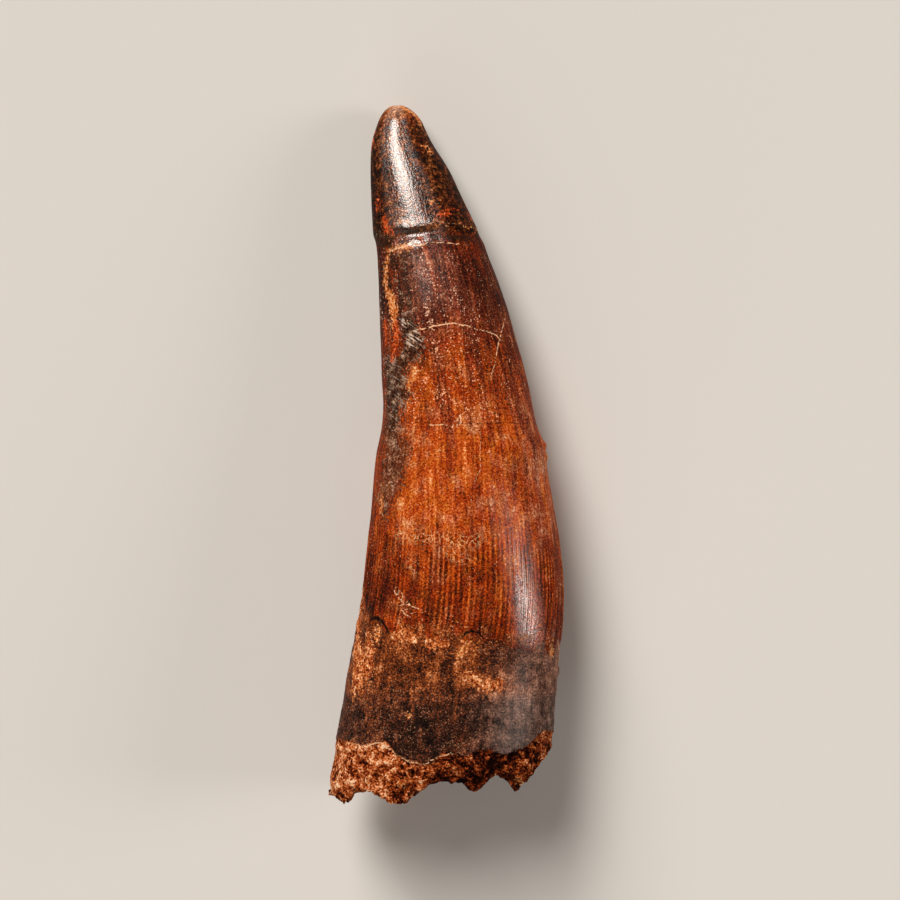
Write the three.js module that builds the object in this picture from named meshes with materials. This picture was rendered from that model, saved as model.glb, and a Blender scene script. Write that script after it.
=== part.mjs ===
// Spinosaurus tooth, a fossil in one piece: worn tip, long crown and broken root.
//
// Millimetres. The tooth lies on its side. X runs across it, Y from the broken root to the tip,
// and Z up from the surface that it rests on. The origin is on that surface, below the middle
// of the tooth's box.
//
// The body is a loft of oval sections square to Y. Its lower rows follow the jagged broken rim,
// and a shallow dish closes the break. A narrow worn flat runs along the underside.

import * as THREE from 'three';

// Lengthwise places, as Y
const TIP_Y = 50.15;
const CAP_START_Y = 47.5; // the blunt tip is rounded above here
const LEVEL_Y = -38; // sections are level above here and follow the broken rim below
const FLAT_MIDDLE_Y = -12;

// Side edges of the tooth seen from above, each a list of [y, x], from the root to the tip
const LEFT_EDGE = [
  [-50.5, -15.6], [-49.2, -16.6], [-47.1, -16.95], [-43.0, -16.3], [-38.4, -15.3],
  [-29.1, -13.8], [-21.2, -12.3], [-15.4, -11.5], [-8.2, -10.8], [0, -10.1],
  [4.2, -9.2], [8.2, -9.1], [20.6, -9.6], [29.2, -10.0], [31.3, -10.5],
  [36.4, -10.8], [41.5, -10.95], [45.1, -10.75], [47.5, -10.15], [50.5, -9.2],
];
const RIGHT_EDGE = [
  [-50.5, 14.3], [-42.5, 15.4], [-35.6, 15.85], [-31.2, 16.15], [-25.8, 16.6],
  [-20.5, 16.9], [-14.0, 16.4], [-9.6, 15.8], [-3.9, 14.8], [1.0, 14.2],
  [4.0, 13.1], [10.5, 11.7], [17.0, 9.9], [22.0, 8.5], [31.3, 4.9],
  [36.1, 2.7], [39.9, 0.7], [43.5, -1.75], [46.5, -3.5], [50.5, -5.4],
];

// Jagged rim of the break, each a list of [x, y] from left to right
const UPPER_RIM = [
  [-17.0, -49.0], [-14.7, -49.9], [-12.9, -48.4], [-10.8, -48.1], [-8.6, -49.5],
  [-6.9, -50.15], [-4.0, -48.4], [-1.7, -46.9], [1.9, -46.8], [4.5, -48.1],
  [6.3, -46.9], [7.9, -45.9], [10.5, -47.9], [12.2, -46.3], [14.0, -44.2], [15.2, -42.2],
];
const LOWER_RIM = [
  [-17.0, -49.0], [-12.5, -48.3], [-8.0, -48.8], [-3.0, -47.2],
  [2.0, -47.6], [7.0, -45.6], [11.5, -45.0], [15.2, -42.2],
];
const RIM_LEFT_X = -17.0;
const RIM_RIGHT_X = 15.2;

// Thickness of the oval sections from the underside to the top, as [y, thickness]
const THICKNESS = [
  [-50.5, 24.4], [-30, 23.7], [-15, 22.2], [0, 19.6], [15, 16.3],
  [30, 12.8], [40, 9.9], [47.5, 6.4], [50.5, 4.4],
];
const SIDE_KEENNESS = 1.08; // above 1 draws the oval's two sides into soft keels
const CAP_BLUNTNESS = 2.6; // 2 is an elliptical tip, and more is blunter

// Underside: how far the worn flat cuts into the oval, and how far the ends lift off
const FLAT_DEPTH = 0.28;
const END_LIFT = 0.9; // reached LIFT_REACH from the middle of the flat
const LIFT_REACH = 50;

// Broken base: the dish goes this far in from the rim, and has a few lumps
const DISH_DEPTH = 2.6;
const DISH_LUMP = 0.5;
const DISH_LUMPS_ROUND = 5;

// Mesh density
const COLUMNS = 60;
const RIM_ROWS = 6;
const BODY_ROWS = 36;
const CAP_ROWS = 6;
const DISH_RINGS = 4;

/** Value at a place in a list of [place, value], along a smooth curve through all of them. */
function smoothAt(list, place) {
  const last = list.length - 1;
  const here = THREE.MathUtils.clamp(place, list[0][0], list[last][0]);
  let i = 0;
  while (i < last - 1 && here > list[i + 1][0]) i += 1;
  const slope = (k) => {
    const [before, after] = [list[Math.max(k - 1, 0)], list[Math.min(k + 1, last)]];
    return (after[1] - before[1]) / (after[0] - before[0]);
  };
  const [[start, from], [end, to]] = [list[i], list[i + 1]];
  const span = end - start;
  const t = (here - start) / span;
  const blend = t * t * (3 - 2 * t);
  const pull = t * (1 - t) * span;
  return from + (to - from) * blend + pull * ((1 - t) * slope(i) - t * slope(i + 1));
}

/** Rounding of the blunt tip: 1 on the body, down to 0 at the very tip. */
function capShare(y) {
  const along = THREE.MathUtils.clamp((y - CAP_START_Y) / (TIP_Y - CAP_START_Y), 0, 1);
  return (1 - along ** CAP_BLUNTNESS) ** (1 / CAP_BLUNTNESS);
}

/** Point on the tooth's side at a place along it and an angle round it, 0 at the right edge. */
function skinPoint(y, angle) {
  const left = smoothAt(LEFT_EDGE, y);
  const right = smoothAt(RIGHT_EDGE, y);
  const halfWidth = 0.5 * (right - left);
  const halfThickness = 0.5 * smoothAt(THICKNESS, y);
  const lift = END_LIFT * ((y - FLAT_MIDDLE_Y) / LIFT_REACH) ** 2 - FLAT_DEPTH;
  const side = Math.sin(angle);
  const across = capShare(y) * Math.cos(angle);
  const up = capShare(y) * Math.sign(side) * Math.abs(side) ** SIDE_KEENNESS;
  return new THREE.Vector3(
    0.5 * (left + right) + halfWidth * across,
    y,
    Math.max(0, lift + halfThickness * (1 + up)),
  );
}

/** Place along the tooth of the broken rim at an angle round it. */
function rimY(angle) {
  const x = THREE.MathUtils.lerp(RIM_LEFT_X, RIM_RIGHT_X, 0.5 * (1 + Math.cos(angle)));
  return smoothAt(Math.sin(angle) >= 0 ? UPPER_RIM : LOWER_RIM, x);
}

/** Rows of places along the tooth at one angle, from the rim up to the last row below the tip. */
function rowPlaces(angle) {
  const places = [];
  for (let row = 0; row < RIM_ROWS; row += 1) {
    places.push(THREE.MathUtils.lerp(rimY(angle), LEVEL_Y, row / RIM_ROWS));
  }
  for (let row = 0; row < BODY_ROWS; row += 1) {
    places.push(THREE.MathUtils.lerp(LEVEL_Y, CAP_START_Y, row / BODY_ROWS));
  }
  for (let row = 0; row < CAP_ROWS; row += 1) {
    const rise = Math.sin((0.5 * Math.PI * row) / CAP_ROWS);
    places.push(THREE.MathUtils.lerp(CAP_START_Y, TIP_Y, rise));
  }
  return places;
}

/** Points of one ring of the broken base, at a share of the way from its middle to the rim. */
function dishRing(rim, middle, share) {
  return rim.map((edge, column) => {
    const point = middle.clone().lerp(edge, share);
    const angle = (2 * Math.PI * column) / COLUMNS;
    const lump = DISH_LUMP * Math.sin(DISH_LUMPS_ROUND * angle) * share * (1 - share);
    const dish = THREE.MathUtils.lerp(middle.y, edge.y, share ** 3);
    return point.setY(dish + lump);
  });
}

/** Closed mesh of the whole tooth: dished break, loft from rim to tip, and the tip itself. */
function toothGeometry() {
  const angles = Array.from({ length: COLUMNS }, (_, column) => (2 * Math.PI * column) / COLUMNS);
  const places = angles.map(rowPlaces);
  const rows = places[0].map((_, row) => angles.map((angle, column) => (
    skinPoint(places[column][row], angle)
  )));

  const rim = rows[0];
  const middle = rim.reduce((sum, point) => sum.add(point), new THREE.Vector3());
  middle.divideScalar(COLUMNS);
  middle.y += DISH_DEPTH;
  for (let ring = 1; ring < DISH_RINGS; ring += 1) {
    rows.unshift(dishRing(rim, middle, 1 - ring / DISH_RINGS));
  }

  const positions = [middle, ...rows.flat(), skinPoint(TIP_Y, 0)].flatMap((p) => p.toArray());
  const index = [];
  const at = (row, column) => 1 + row * COLUMNS + (column % COLUMNS);
  const tip = positions.length / 3 - 1;
  for (let column = 0; column < COLUMNS; column += 1) {
    index.push(0, at(0, column), at(0, column + 1));
    for (let row = 0; row < rows.length - 1; row += 1) {
      const [a, b] = [at(row, column), at(row, column + 1)];
      const [c, d] = [at(row + 1, column), at(row + 1, column + 1)];
      index.push(a, c, b, b, c, d);
    }
    index.push(at(rows.length - 1, column), tip, at(rows.length - 1, column + 1));
  }

  const geometry = new THREE.BufferGeometry();
  geometry.setAttribute('position', new THREE.Float32BufferAttribute(positions, 3));
  geometry.setIndex(index);
  geometry.computeVertexNormals();
  return geometry;
}

const fossil = new THREE.MeshStandardMaterial({ color: '#8a3e16', roughness: 0.42, metalness: 0 });

const tooth = new THREE.Mesh(toothGeometry(), fossil);
tooth.name = 'tooth';

const group = new THREE.Group();
group.add(tooth);

export default group;
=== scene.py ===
"""A fossil spinosaurus tooth lying on its side, with its floor, lights and camera.

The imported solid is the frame. The tooth's visible skin is a fine mesh on the same form, with the
relief, marks and finishes of its zones: polished crown, stained root, porous broken base, grey
mineral and sandy crust. Lengths in the classes are millimetres in the frame's axes (X across the
tooth, Y from the broken root to the tip, Z up), and objects are made in metres.
"""

import logging
import math
from dataclasses import dataclass, field
from enum import Enum
from typing import Any

import bpy
import numpy as np
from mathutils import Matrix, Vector


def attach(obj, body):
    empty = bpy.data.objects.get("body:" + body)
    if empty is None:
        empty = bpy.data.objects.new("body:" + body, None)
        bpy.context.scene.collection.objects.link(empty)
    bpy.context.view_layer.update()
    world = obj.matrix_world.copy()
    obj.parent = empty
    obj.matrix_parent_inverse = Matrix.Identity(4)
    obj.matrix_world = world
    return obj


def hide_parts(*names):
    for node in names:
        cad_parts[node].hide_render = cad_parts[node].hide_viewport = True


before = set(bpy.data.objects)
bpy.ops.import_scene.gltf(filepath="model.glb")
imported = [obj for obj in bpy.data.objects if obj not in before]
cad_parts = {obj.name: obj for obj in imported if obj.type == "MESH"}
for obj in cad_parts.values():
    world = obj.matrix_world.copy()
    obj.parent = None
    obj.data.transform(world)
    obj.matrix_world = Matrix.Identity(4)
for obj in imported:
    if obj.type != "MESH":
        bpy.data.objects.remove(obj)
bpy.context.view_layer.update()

MM = 0.001
NODE = "tooth"

Places = tuple[tuple[float, float], ...]
Points = tuple[tuple[float, float, float], ...]
Effects = tuple[tuple[str, float, float], ...]
Stops = tuple[tuple[float, str], ...]
Inputs = dict[int | str, Any] | tuple[Any, ...]
Socket = bpy.types.NodeSocket
log = logging.getLogger("tooth")


# ---------------------------------------------------------------- small helpers


def linear(colour: str) -> tuple[float, float, float, float]:
    """Turn an sRGB hex colour into linear red, green, blue and alpha.

    Args:
        colour: The colour as "#rrggbb".

    Returns:
        Linear channels from 0 to 1, with alpha 1.
    """
    channels = [int(colour[i : i + 2], 16) / 255 for i in (1, 3, 5)]
    lit = [c / 12.92 if c <= 0.04045 else ((c + 0.055) / 1.055) ** 2.4 for c in channels]
    return lit[0], lit[1], lit[2], 1.0


def smooth_at(places: Places, at: np.ndarray) -> np.ndarray:
    """Read values along a smooth curve through a list of (place, value).

    Args:
        places: Places in rising order, each with its value.
        at: Where to read the curve. Past the ends it keeps the end values.

    Returns:
        The values, in the shape of at.
    """
    place, value = np.array(places, float).T
    here = np.clip(at, place[0], place[-1])
    i = np.clip(np.searchsorted(place, here, side="right") - 1, 0, len(place) - 2)
    before = np.maximum(np.arange(len(place)) - 1, 0)
    after = np.minimum(np.arange(len(place)) + 1, len(place) - 1)
    slope = (value[after] - value[before]) / (place[after] - place[before])
    span = place[i + 1] - place[i]
    t = (here - place[i]) / span
    blend = t * t * (3 - 2 * t)
    pull = t * (1 - t) * span
    return value[i] + (value[i + 1] - value[i]) * blend + pull * (
        (1 - t) * slope[i] - t * slope[i + 1]
    )


def soft_step(value: np.ndarray, low: float, high: float) -> np.ndarray:
    """Ramp from 0 at low to 1 at high, with soft ends.

    Args:
        value: What is ramped.
        low: Value that gives 0.
        high: Value that gives 1.

    Returns:
        The ramp, in the shape of value.
    """
    t = np.clip((value - low) / (high - low), 0, 1)
    return t * t * (3 - 2 * t)


def add_node(
    tree: bpy.types.NodeTree,
    kind: str,
    inputs: Inputs = (),
    output: int | str = 0,
    stops: Stops = (),
    **settings: Any,
) -> Socket:
    """Add one shader node with its settings and links.

    Args:
        tree: The material's node tree.
        kind: Node type without its "ShaderNode" prefix.
        inputs: A constant or a socket to link for each input, in order or by index or name.
        output: Index or name of the output wanted.
        stops: Places and sRGB colours of a colour ramp.
        **settings: Properties of the node itself.

    Returns:
        That output socket, or None for a node that has none.
    """
    node = tree.nodes.new("ShaderNode" + kind)
    for name, value in settings.items():
        setattr(node, name, value)
    for position, (place, colour) in enumerate(stops):
        ramp = node.color_ramp.elements
        stop = ramp[position] if position < 2 else ramp.new(place)
        stop.position = place
        stop.color = linear(colour)
    for name, value in (inputs if isinstance(inputs, dict) else dict(enumerate(inputs))).items():
        if isinstance(value, bpy.types.NodeSocket):
            tree.links.new(value, node.inputs[name])
        else:
            node.inputs[name].default_value = value
    return node.outputs[output] if len(node.outputs) else None


# ---------------------------------------------------------------- noise


@dataclass(frozen=True)
class Noise:
    """Seeded noise over space, the same on every run.

    Attributes:
        cell: Size of one lump, in millimetres.
        seed: Picks one pattern.
        stretch: How much longer the lumps are along Y than across it.
    """

    cell: float
    seed: int
    stretch: float = 1.0

    def _corner(self, lattice: np.ndarray) -> np.ndarray:
        """Hash whole-number lattice points.

        Args:
            lattice: The points, shape (..., 3).

        Returns:
            A number from 0 to 1 for each.
        """
        mask = np.int64(0xFFFFFFFF)
        value = np.full(lattice.shape[:-1], self.seed * 7919 + 17, np.int64)
        for axis, prime in enumerate((374761393, 668265263, 1274126177)):
            value = (value + lattice[..., axis] * prime) & mask
            value = ((value ^ (value >> 13)) * 1103515245) & mask
        return ((value ^ (value >> 16)) & mask) / float(mask)

    def _scaled(self, points: np.ndarray) -> np.ndarray:
        """Turn millimetres into cells."""
        return points / (self.cell * np.array([1.0, self.stretch, 1.0]))

    def smooth(self, points: np.ndarray, octaves: int = 1) -> np.ndarray:
        """Give smooth noise from about -1 to 1.

        Args:
            points: Points in millimetres, shape (..., 3).
            octaves: How many times a finer copy at half the strength is added.

        Returns:
            The noise at each point.
        """
        total = np.zeros(points.shape[:-1])
        for octave in range(octaves):
            scaled = self._scaled(points) * 2**octave + 31.7 * octave
            whole = np.floor(scaled).astype(np.int64)
            part = scaled - whole
            part = part * part * (3 - 2 * part)
            value = np.zeros(points.shape[:-1])
            for corner in np.ndindex(2, 2, 2):
                share = np.prod(np.where(corner, part, 1 - part), axis=-1)
                value += share * self._corner(whole + np.array(corner))
            total += (2 * value - 1) / 2**octave
        return total

    def pits(self, points: np.ndarray) -> np.ndarray:
        """Give the distance to the nearest scattered point, in cells.

        Args:
            points: Points in millimetres, shape (..., 3).

        Returns:
            Distances, near 0 in the middle of a pit and about 0.8 between pits.
        """
        scaled = self._scaled(points)
        whole = np.floor(scaled).astype(np.int64)
        nearest = np.full(points.shape[:-1], 9.0)
        for corner in np.ndindex(3, 3, 3):
            cell = whole + np.array(corner) - 1
            shift = [self._corner(cell + 101 * (axis + 1)) for axis in range(3)]
            away = np.linalg.norm(cell + np.stack(shift, axis=-1) - scaled, axis=-1)
            nearest = np.minimum(nearest, away)
        return nearest


# ---------------------------------------------------------------- form


class Face(Enum):
    """Side of the lying tooth that a mark is on."""

    UPPER = 1
    LOWER = -1


@dataclass(frozen=True)
class Stroke:
    """A mark drawn along the skin with a round brush.

    Attributes:
        points: (x, y, brush radius) along the stroke, seen from above.
        face: Side of the tooth that it is on.
    """

    points: Points
    face: Face = Face.UPPER


Strokes = tuple[Stroke, ...]


def strokes_of(*upper: Points, lower: tuple[Points, ...] = ()) -> Strokes:
    """Make strokes from lists of their points.

    Args:
        *upper: The points of each stroke on the upper face.
        lower: The points of each stroke on the underside.

    Returns:
        The strokes, those on the underside last.
    """
    return (*(Stroke(p) for p in upper), *(Stroke(p, Face.LOWER) for p in lower))


@dataclass(frozen=True)
class ToothForm:
    """The tooth's plain form: oval sections square to Y, a jagged rim and a blunt tip.

    Attributes:
        tip_y: Place of the tip.
        cap_start_y: Where the rounding of the blunt tip begins.
        level_y: Rows are level above here and follow the broken rim below.
        left_edge, right_edge: The side edges seen from above, as (y, x).
        upper_rim, lower_rim: The jagged rim of the break on each face, as (x, y).
        thickness: From the underside to the top, as (y, thickness).
        side_keenness: Above 1 draws the two sides into soft keels.
        cap_bluntness: 2 is an elliptical tip, and more is blunter.
        flat_middle_y, flat_depth, end_lift, lift_reach: The worn flat of the underside.
    """

    tip_y: float = 50.15
    cap_start_y: float = 47.5
    level_y: float = -38.0
    left_edge: Places = (
        (-50.5, -15.6), (-49.2, -16.6), (-47.1, -16.95), (-43.0, -16.3), (-38.4, -15.3),
        (-29.1, -13.8), (-21.2, -12.3), (-15.4, -11.5), (-8.2, -10.8), (0, -10.1),
        (4.2, -9.2), (8.2, -9.1), (20.6, -9.6), (29.2, -10.0), (31.3, -10.5),
        (36.4, -10.8), (41.5, -10.95), (45.1, -10.75), (47.5, -10.15), (50.5, -9.2),
    )
    right_edge: Places = (
        (-50.5, 14.3), (-42.5, 15.4), (-35.6, 15.85), (-31.2, 16.15), (-25.8, 16.6),
        (-20.5, 16.9), (-14.0, 16.4), (-9.6, 15.8), (-3.9, 14.8), (1.0, 14.2),
        (4.0, 13.1), (10.5, 11.7), (17.0, 9.9), (22.0, 8.5), (31.3, 4.9),
        (36.1, 2.7), (39.9, 0.7), (43.5, -1.75), (46.5, -3.5), (50.5, -5.4),
    )
    upper_rim: Places = (
        (-17.0, -49.0), (-14.7, -49.9), (-12.9, -48.4), (-10.8, -48.1), (-8.6, -49.5),
        (-6.9, -50.15), (-4.0, -48.4), (-1.7, -46.9), (1.9, -46.8), (4.5, -48.1),
        (6.3, -46.9), (7.9, -45.9), (10.5, -47.9), (12.2, -46.3), (14.0, -44.2),
        (15.2, -42.2),
    )
    lower_rim: Places = (
        (-17.0, -49.0), (-12.5, -48.3), (-8.0, -48.8), (-3.0, -47.2),
        (2.0, -47.6), (7.0, -45.6), (11.5, -45.0), (15.2, -42.2),
    )
    thickness: Places = (
        (-50.5, 24.4), (-30, 23.7), (-15, 22.2), (0, 19.6), (15, 16.3),
        (30, 12.8), (40, 9.9), (47.5, 6.4), (50.5, 4.4),
    )
    side_keenness: float = 1.08
    cap_bluntness: float = 2.6
    flat_middle_y: float = -12.0
    flat_depth: float = 0.28
    end_lift: float = 0.9
    lift_reach: float = 50.0

    def middle_x(self, y: np.ndarray) -> np.ndarray:
        """Give the middle of the section at each place."""
        return 0.5 * (smooth_at(self.left_edge, y) + smooth_at(self.right_edge, y))

    def half_width(self, y: np.ndarray) -> np.ndarray:
        """Give half the width of the section at each place."""
        return 0.5 * (smooth_at(self.right_edge, y) - smooth_at(self.left_edge, y))

    def skin(self, y: np.ndarray, angle: np.ndarray) -> np.ndarray:
        """Give points of the plain skin.

        Args:
            y: Places along the tooth.
            angle: Angles round it, 0 at the right edge and a quarter turn on top.

        Returns:
            Points in millimetres, shape (..., 3).
        """
        half_thickness = 0.5 * smooth_at(self.thickness, y)
        lift = self.end_lift * ((y - self.flat_middle_y) / self.lift_reach) ** 2
        along = np.clip((y - self.cap_start_y) / (self.tip_y - self.cap_start_y), 0, 1)
        cap = (1 - along**self.cap_bluntness) ** (1 / self.cap_bluntness)
        side = np.sin(angle)
        up = cap * np.sign(side) * np.abs(side) ** self.side_keenness
        x = self.middle_x(y) + self.half_width(y) * cap * np.cos(angle)
        z = lift - self.flat_depth + half_thickness * (1 + up)
        return np.stack([x, y + 0 * x, np.maximum(z, 0)], axis=-1)

    def rim(self, angle: np.ndarray) -> np.ndarray:
        """Give the place of the broken rim.

        Args:
            angle: Angles round the tooth.

        Returns:
            Its place along the tooth at each angle.
        """
        left, right = self.upper_rim[0][0], self.upper_rim[-1][0]
        x = left + (right - left) * 0.5 * (1 + np.cos(angle))
        upper, lower = smooth_at(self.upper_rim, x), smooth_at(self.lower_rim, x)
        return np.where(np.sin(angle) >= 0, upper, lower)

    def spot(self, x: float, y: float, face: Face) -> tuple[np.ndarray, np.ndarray]:
        """Find a place on the skin by where it shows from above.

        Args:
            x: Distance across.
            y: Distance along.
            face: Side of the tooth.

        Returns:
            The point on the skin and the outward direction there.
        """
        place = np.array(y)
        across = (x - self.middle_x(place)) / self.half_width(place)
        angle = np.array(face.value * math.acos(float(np.clip(across, -1, 1))))
        step = 0.01
        along = self.skin(place + step, angle) - self.skin(place - step, angle)
        turn = self.skin(place, angle + step) - self.skin(place, angle - step)
        out = np.cross(along, turn)
        return self.skin(place, angle), out / (np.linalg.norm(out) + 1e-12)


@dataclass
class SkinGrid:
    """Rows and columns of points that cover the form, from the middle of the break to the tip.

    Attributes:
        form: The plain form.
        columns: Points round each row. The first column runs along the underside.
        top_crowding: Share by which columns crowd on the upper face.
        break_rings, rim_rows, body_rows, cap_rows: Rows of each stretch.
        dish_depth: How far the middle of the break lies in from its rim.
        line_core, line_reach: How near a fine line counts fully, and where it stops to count.
        fine_bands: (middle y, half width, crowding) of the stretches with finer rows.
        angle: Angle of each column.
        rim_share: 1 on the broken rim, falling to 0 on the rings and rows away from it.
        points, out: Every point and its outward direction.
    """

    form: ToothForm
    columns: int = 480
    top_crowding: float = 0.3
    break_rings: int = 18
    rim_rows: int = 42
    body_rows: int = 124
    cap_rows: int = 13
    dish_depth: float = 2.6
    line_core: float = 0.8
    line_reach: float = 1.6
    fine_bands: Points = (
        (31.0, 3.0, 1.6),
        (-25.0, 5.0, 0.9),
        (-36.0, 4.0, 0.5),
    )
    angle: np.ndarray = field(init=False)
    rim_share: np.ndarray = field(init=False)
    points: np.ndarray = field(init=False)
    out: np.ndarray = field(init=False)

    def __post_init__(self) -> None:
        """Lay out the rows and columns."""
        turn = 2 * np.pi * np.arange(self.columns) / self.columns - 0.5 * np.pi
        self.angle = turn + self.top_crowding * np.cos(turn)
        skin = self.form.skin(self._places(), self.angle[None, :])
        self.points = np.concatenate([self._break(skin[0]), skin])
        self.out = self._outward(self.points)
        inwards = np.linspace(0, 1, self.break_rings, endpoint=False)
        upwards = np.linspace(1, 0, self.rim_rows, endpoint=False)
        rest = np.zeros(self.body_rows + self.cap_rows + 1)
        self.rim_share = np.concatenate([inwards, upwards, rest])[:, None]

    def _places(self) -> np.ndarray:
        """Lay the skin's rows out along the tooth.

        Returns:
            The place of every row and column.
        """
        form = self.form
        share = np.arange(self.rim_rows)[:, None] / self.rim_rows
        rim = form.rim(self.angle)[None, :]
        rim_rows = rim + (form.level_y - rim) * share
        fine = np.linspace(form.level_y, form.cap_start_y, 2000)
        density = np.ones_like(fine)
        for middle, half, crowding in self.fine_bands:
            density += crowding * np.exp(-(((fine - middle) / half) ** 2))
        reached = np.concatenate([[0], np.cumsum(0.5 * (density[1:] + density[:-1]))])
        wanted = np.linspace(0, reached[-1], self.body_rows, endpoint=False)
        body = np.interp(wanted, reached, fine)
        rise = np.sin(0.5 * np.pi * np.arange(self.cap_rows + 1) / self.cap_rows)
        cap = form.cap_start_y + (form.tip_y - form.cap_start_y) * rise
        level = np.concatenate([body, cap])[:, None] + np.zeros(self.columns)
        return np.concatenate([rim_rows, level])

    def _break(self, rim: np.ndarray) -> np.ndarray:
        """Give the rings of the broken base, from its middle to just inside the rim.

        Args:
            rim: The points of the rim.

        Returns:
            Points, shape (rings, columns, 3).
        """
        share = (np.arange(self.break_rings) / self.break_rings)[:, None, None]
        middle = rim.mean(axis=0)
        rings = middle + (rim - middle) * share
        depth = self.dish_depth * (1 - share[..., 0] ** 3)
        settled = middle[1] + (rim[:, 1] - middle[1]) * share[..., 0] ** 3
        rings[..., 1] = settled + depth
        return rings

    @staticmethod
    def _outward(points: np.ndarray) -> np.ndarray:
        """Give the outward direction at every point of a grid that closes on itself.

        Args:
            points: Rows and columns of points.

        Returns:
            Unit directions, shape as points.
        """
        along = np.gradient(points, axis=0)
        round_it = np.roll(points, -1, axis=1) - np.roll(points, 1, axis=1)
        out = np.cross(along, round_it)
        length = np.linalg.norm(out, axis=-1, keepdims=True)
        out = out / np.maximum(length, 1e-9)
        out[0], out[-1] = (0, -1, 0), (0, 1, 0)
        return out

    def depth_in(self, strokes: Strokes) -> np.ndarray:
        """Measure how deep every point lies inside the nearest of some strokes.

        Args:
            strokes: The strokes, each a brush of changing radius.

        Returns:
            Millimetres, above 0 inside a stroke and below 0 outside.
        """
        depth = np.full(self.points.shape[:-1], -99.0)
        for stroke in strokes:
            ends = [self.form.spot(x, y, stroke.face)[0] for x, y, _ in stroke.points]
            radii = [radius for *_, radius in stroke.points]
            if len(ends) == 1:
                ends, radii = ends * 2, radii * 2
            for a, b, ra, rb in zip(ends, ends[1:], radii, radii[1:]):
                step = b - a
                t = np.clip((self.points - a) @ step / (step @ step + 1e-12), 0, 1)
                away = np.linalg.norm(self.points - a - t[..., None] * step, axis=-1)
                depth = np.maximum(depth, ra + (rb - ra) * t - away)
        return depth

    def offset_from(self, strokes: Strokes) -> tuple[np.ndarray, np.ndarray]:
        """Measure the signed distance across the nearest of some fine lines.

        Args:
            strokes: The lines. A point's radius is the line's strength there, from 0 to 1.

        Returns:
            Millimetres across the line, and the line's strength near it, fading to 0
            away from it.
        """
        best = np.full(self.points.shape[:-1], 99.0)
        offset = best.copy()
        near = np.zeros_like(best)
        for stroke in strokes:
            marks = [(*self.form.spot(x, y, stroke.face), s) for x, y, s in stroke.points]
            for (a, out, sa), (b, _, sb) in zip(marks, marks[1:]):
                step = b - a
                t = np.clip((self.points - a) @ step / (step @ step), 0, 1)
                gap = self.points - a - t[..., None] * step
                away = np.linalg.norm(gap, axis=-1)
                side = np.where(gap @ np.cross(out, step) >= 0, 1.0, -1.0)
                closer = away < best
                offset = np.where(closer, side * away, offset)
                near = np.where(closer, sa + (sb - sa) * t, near)
                best = np.minimum(best, away)
        return offset, near * soft_step(best, self.line_reach, self.line_core)


# ---------------------------------------------------------------- marks


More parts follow.
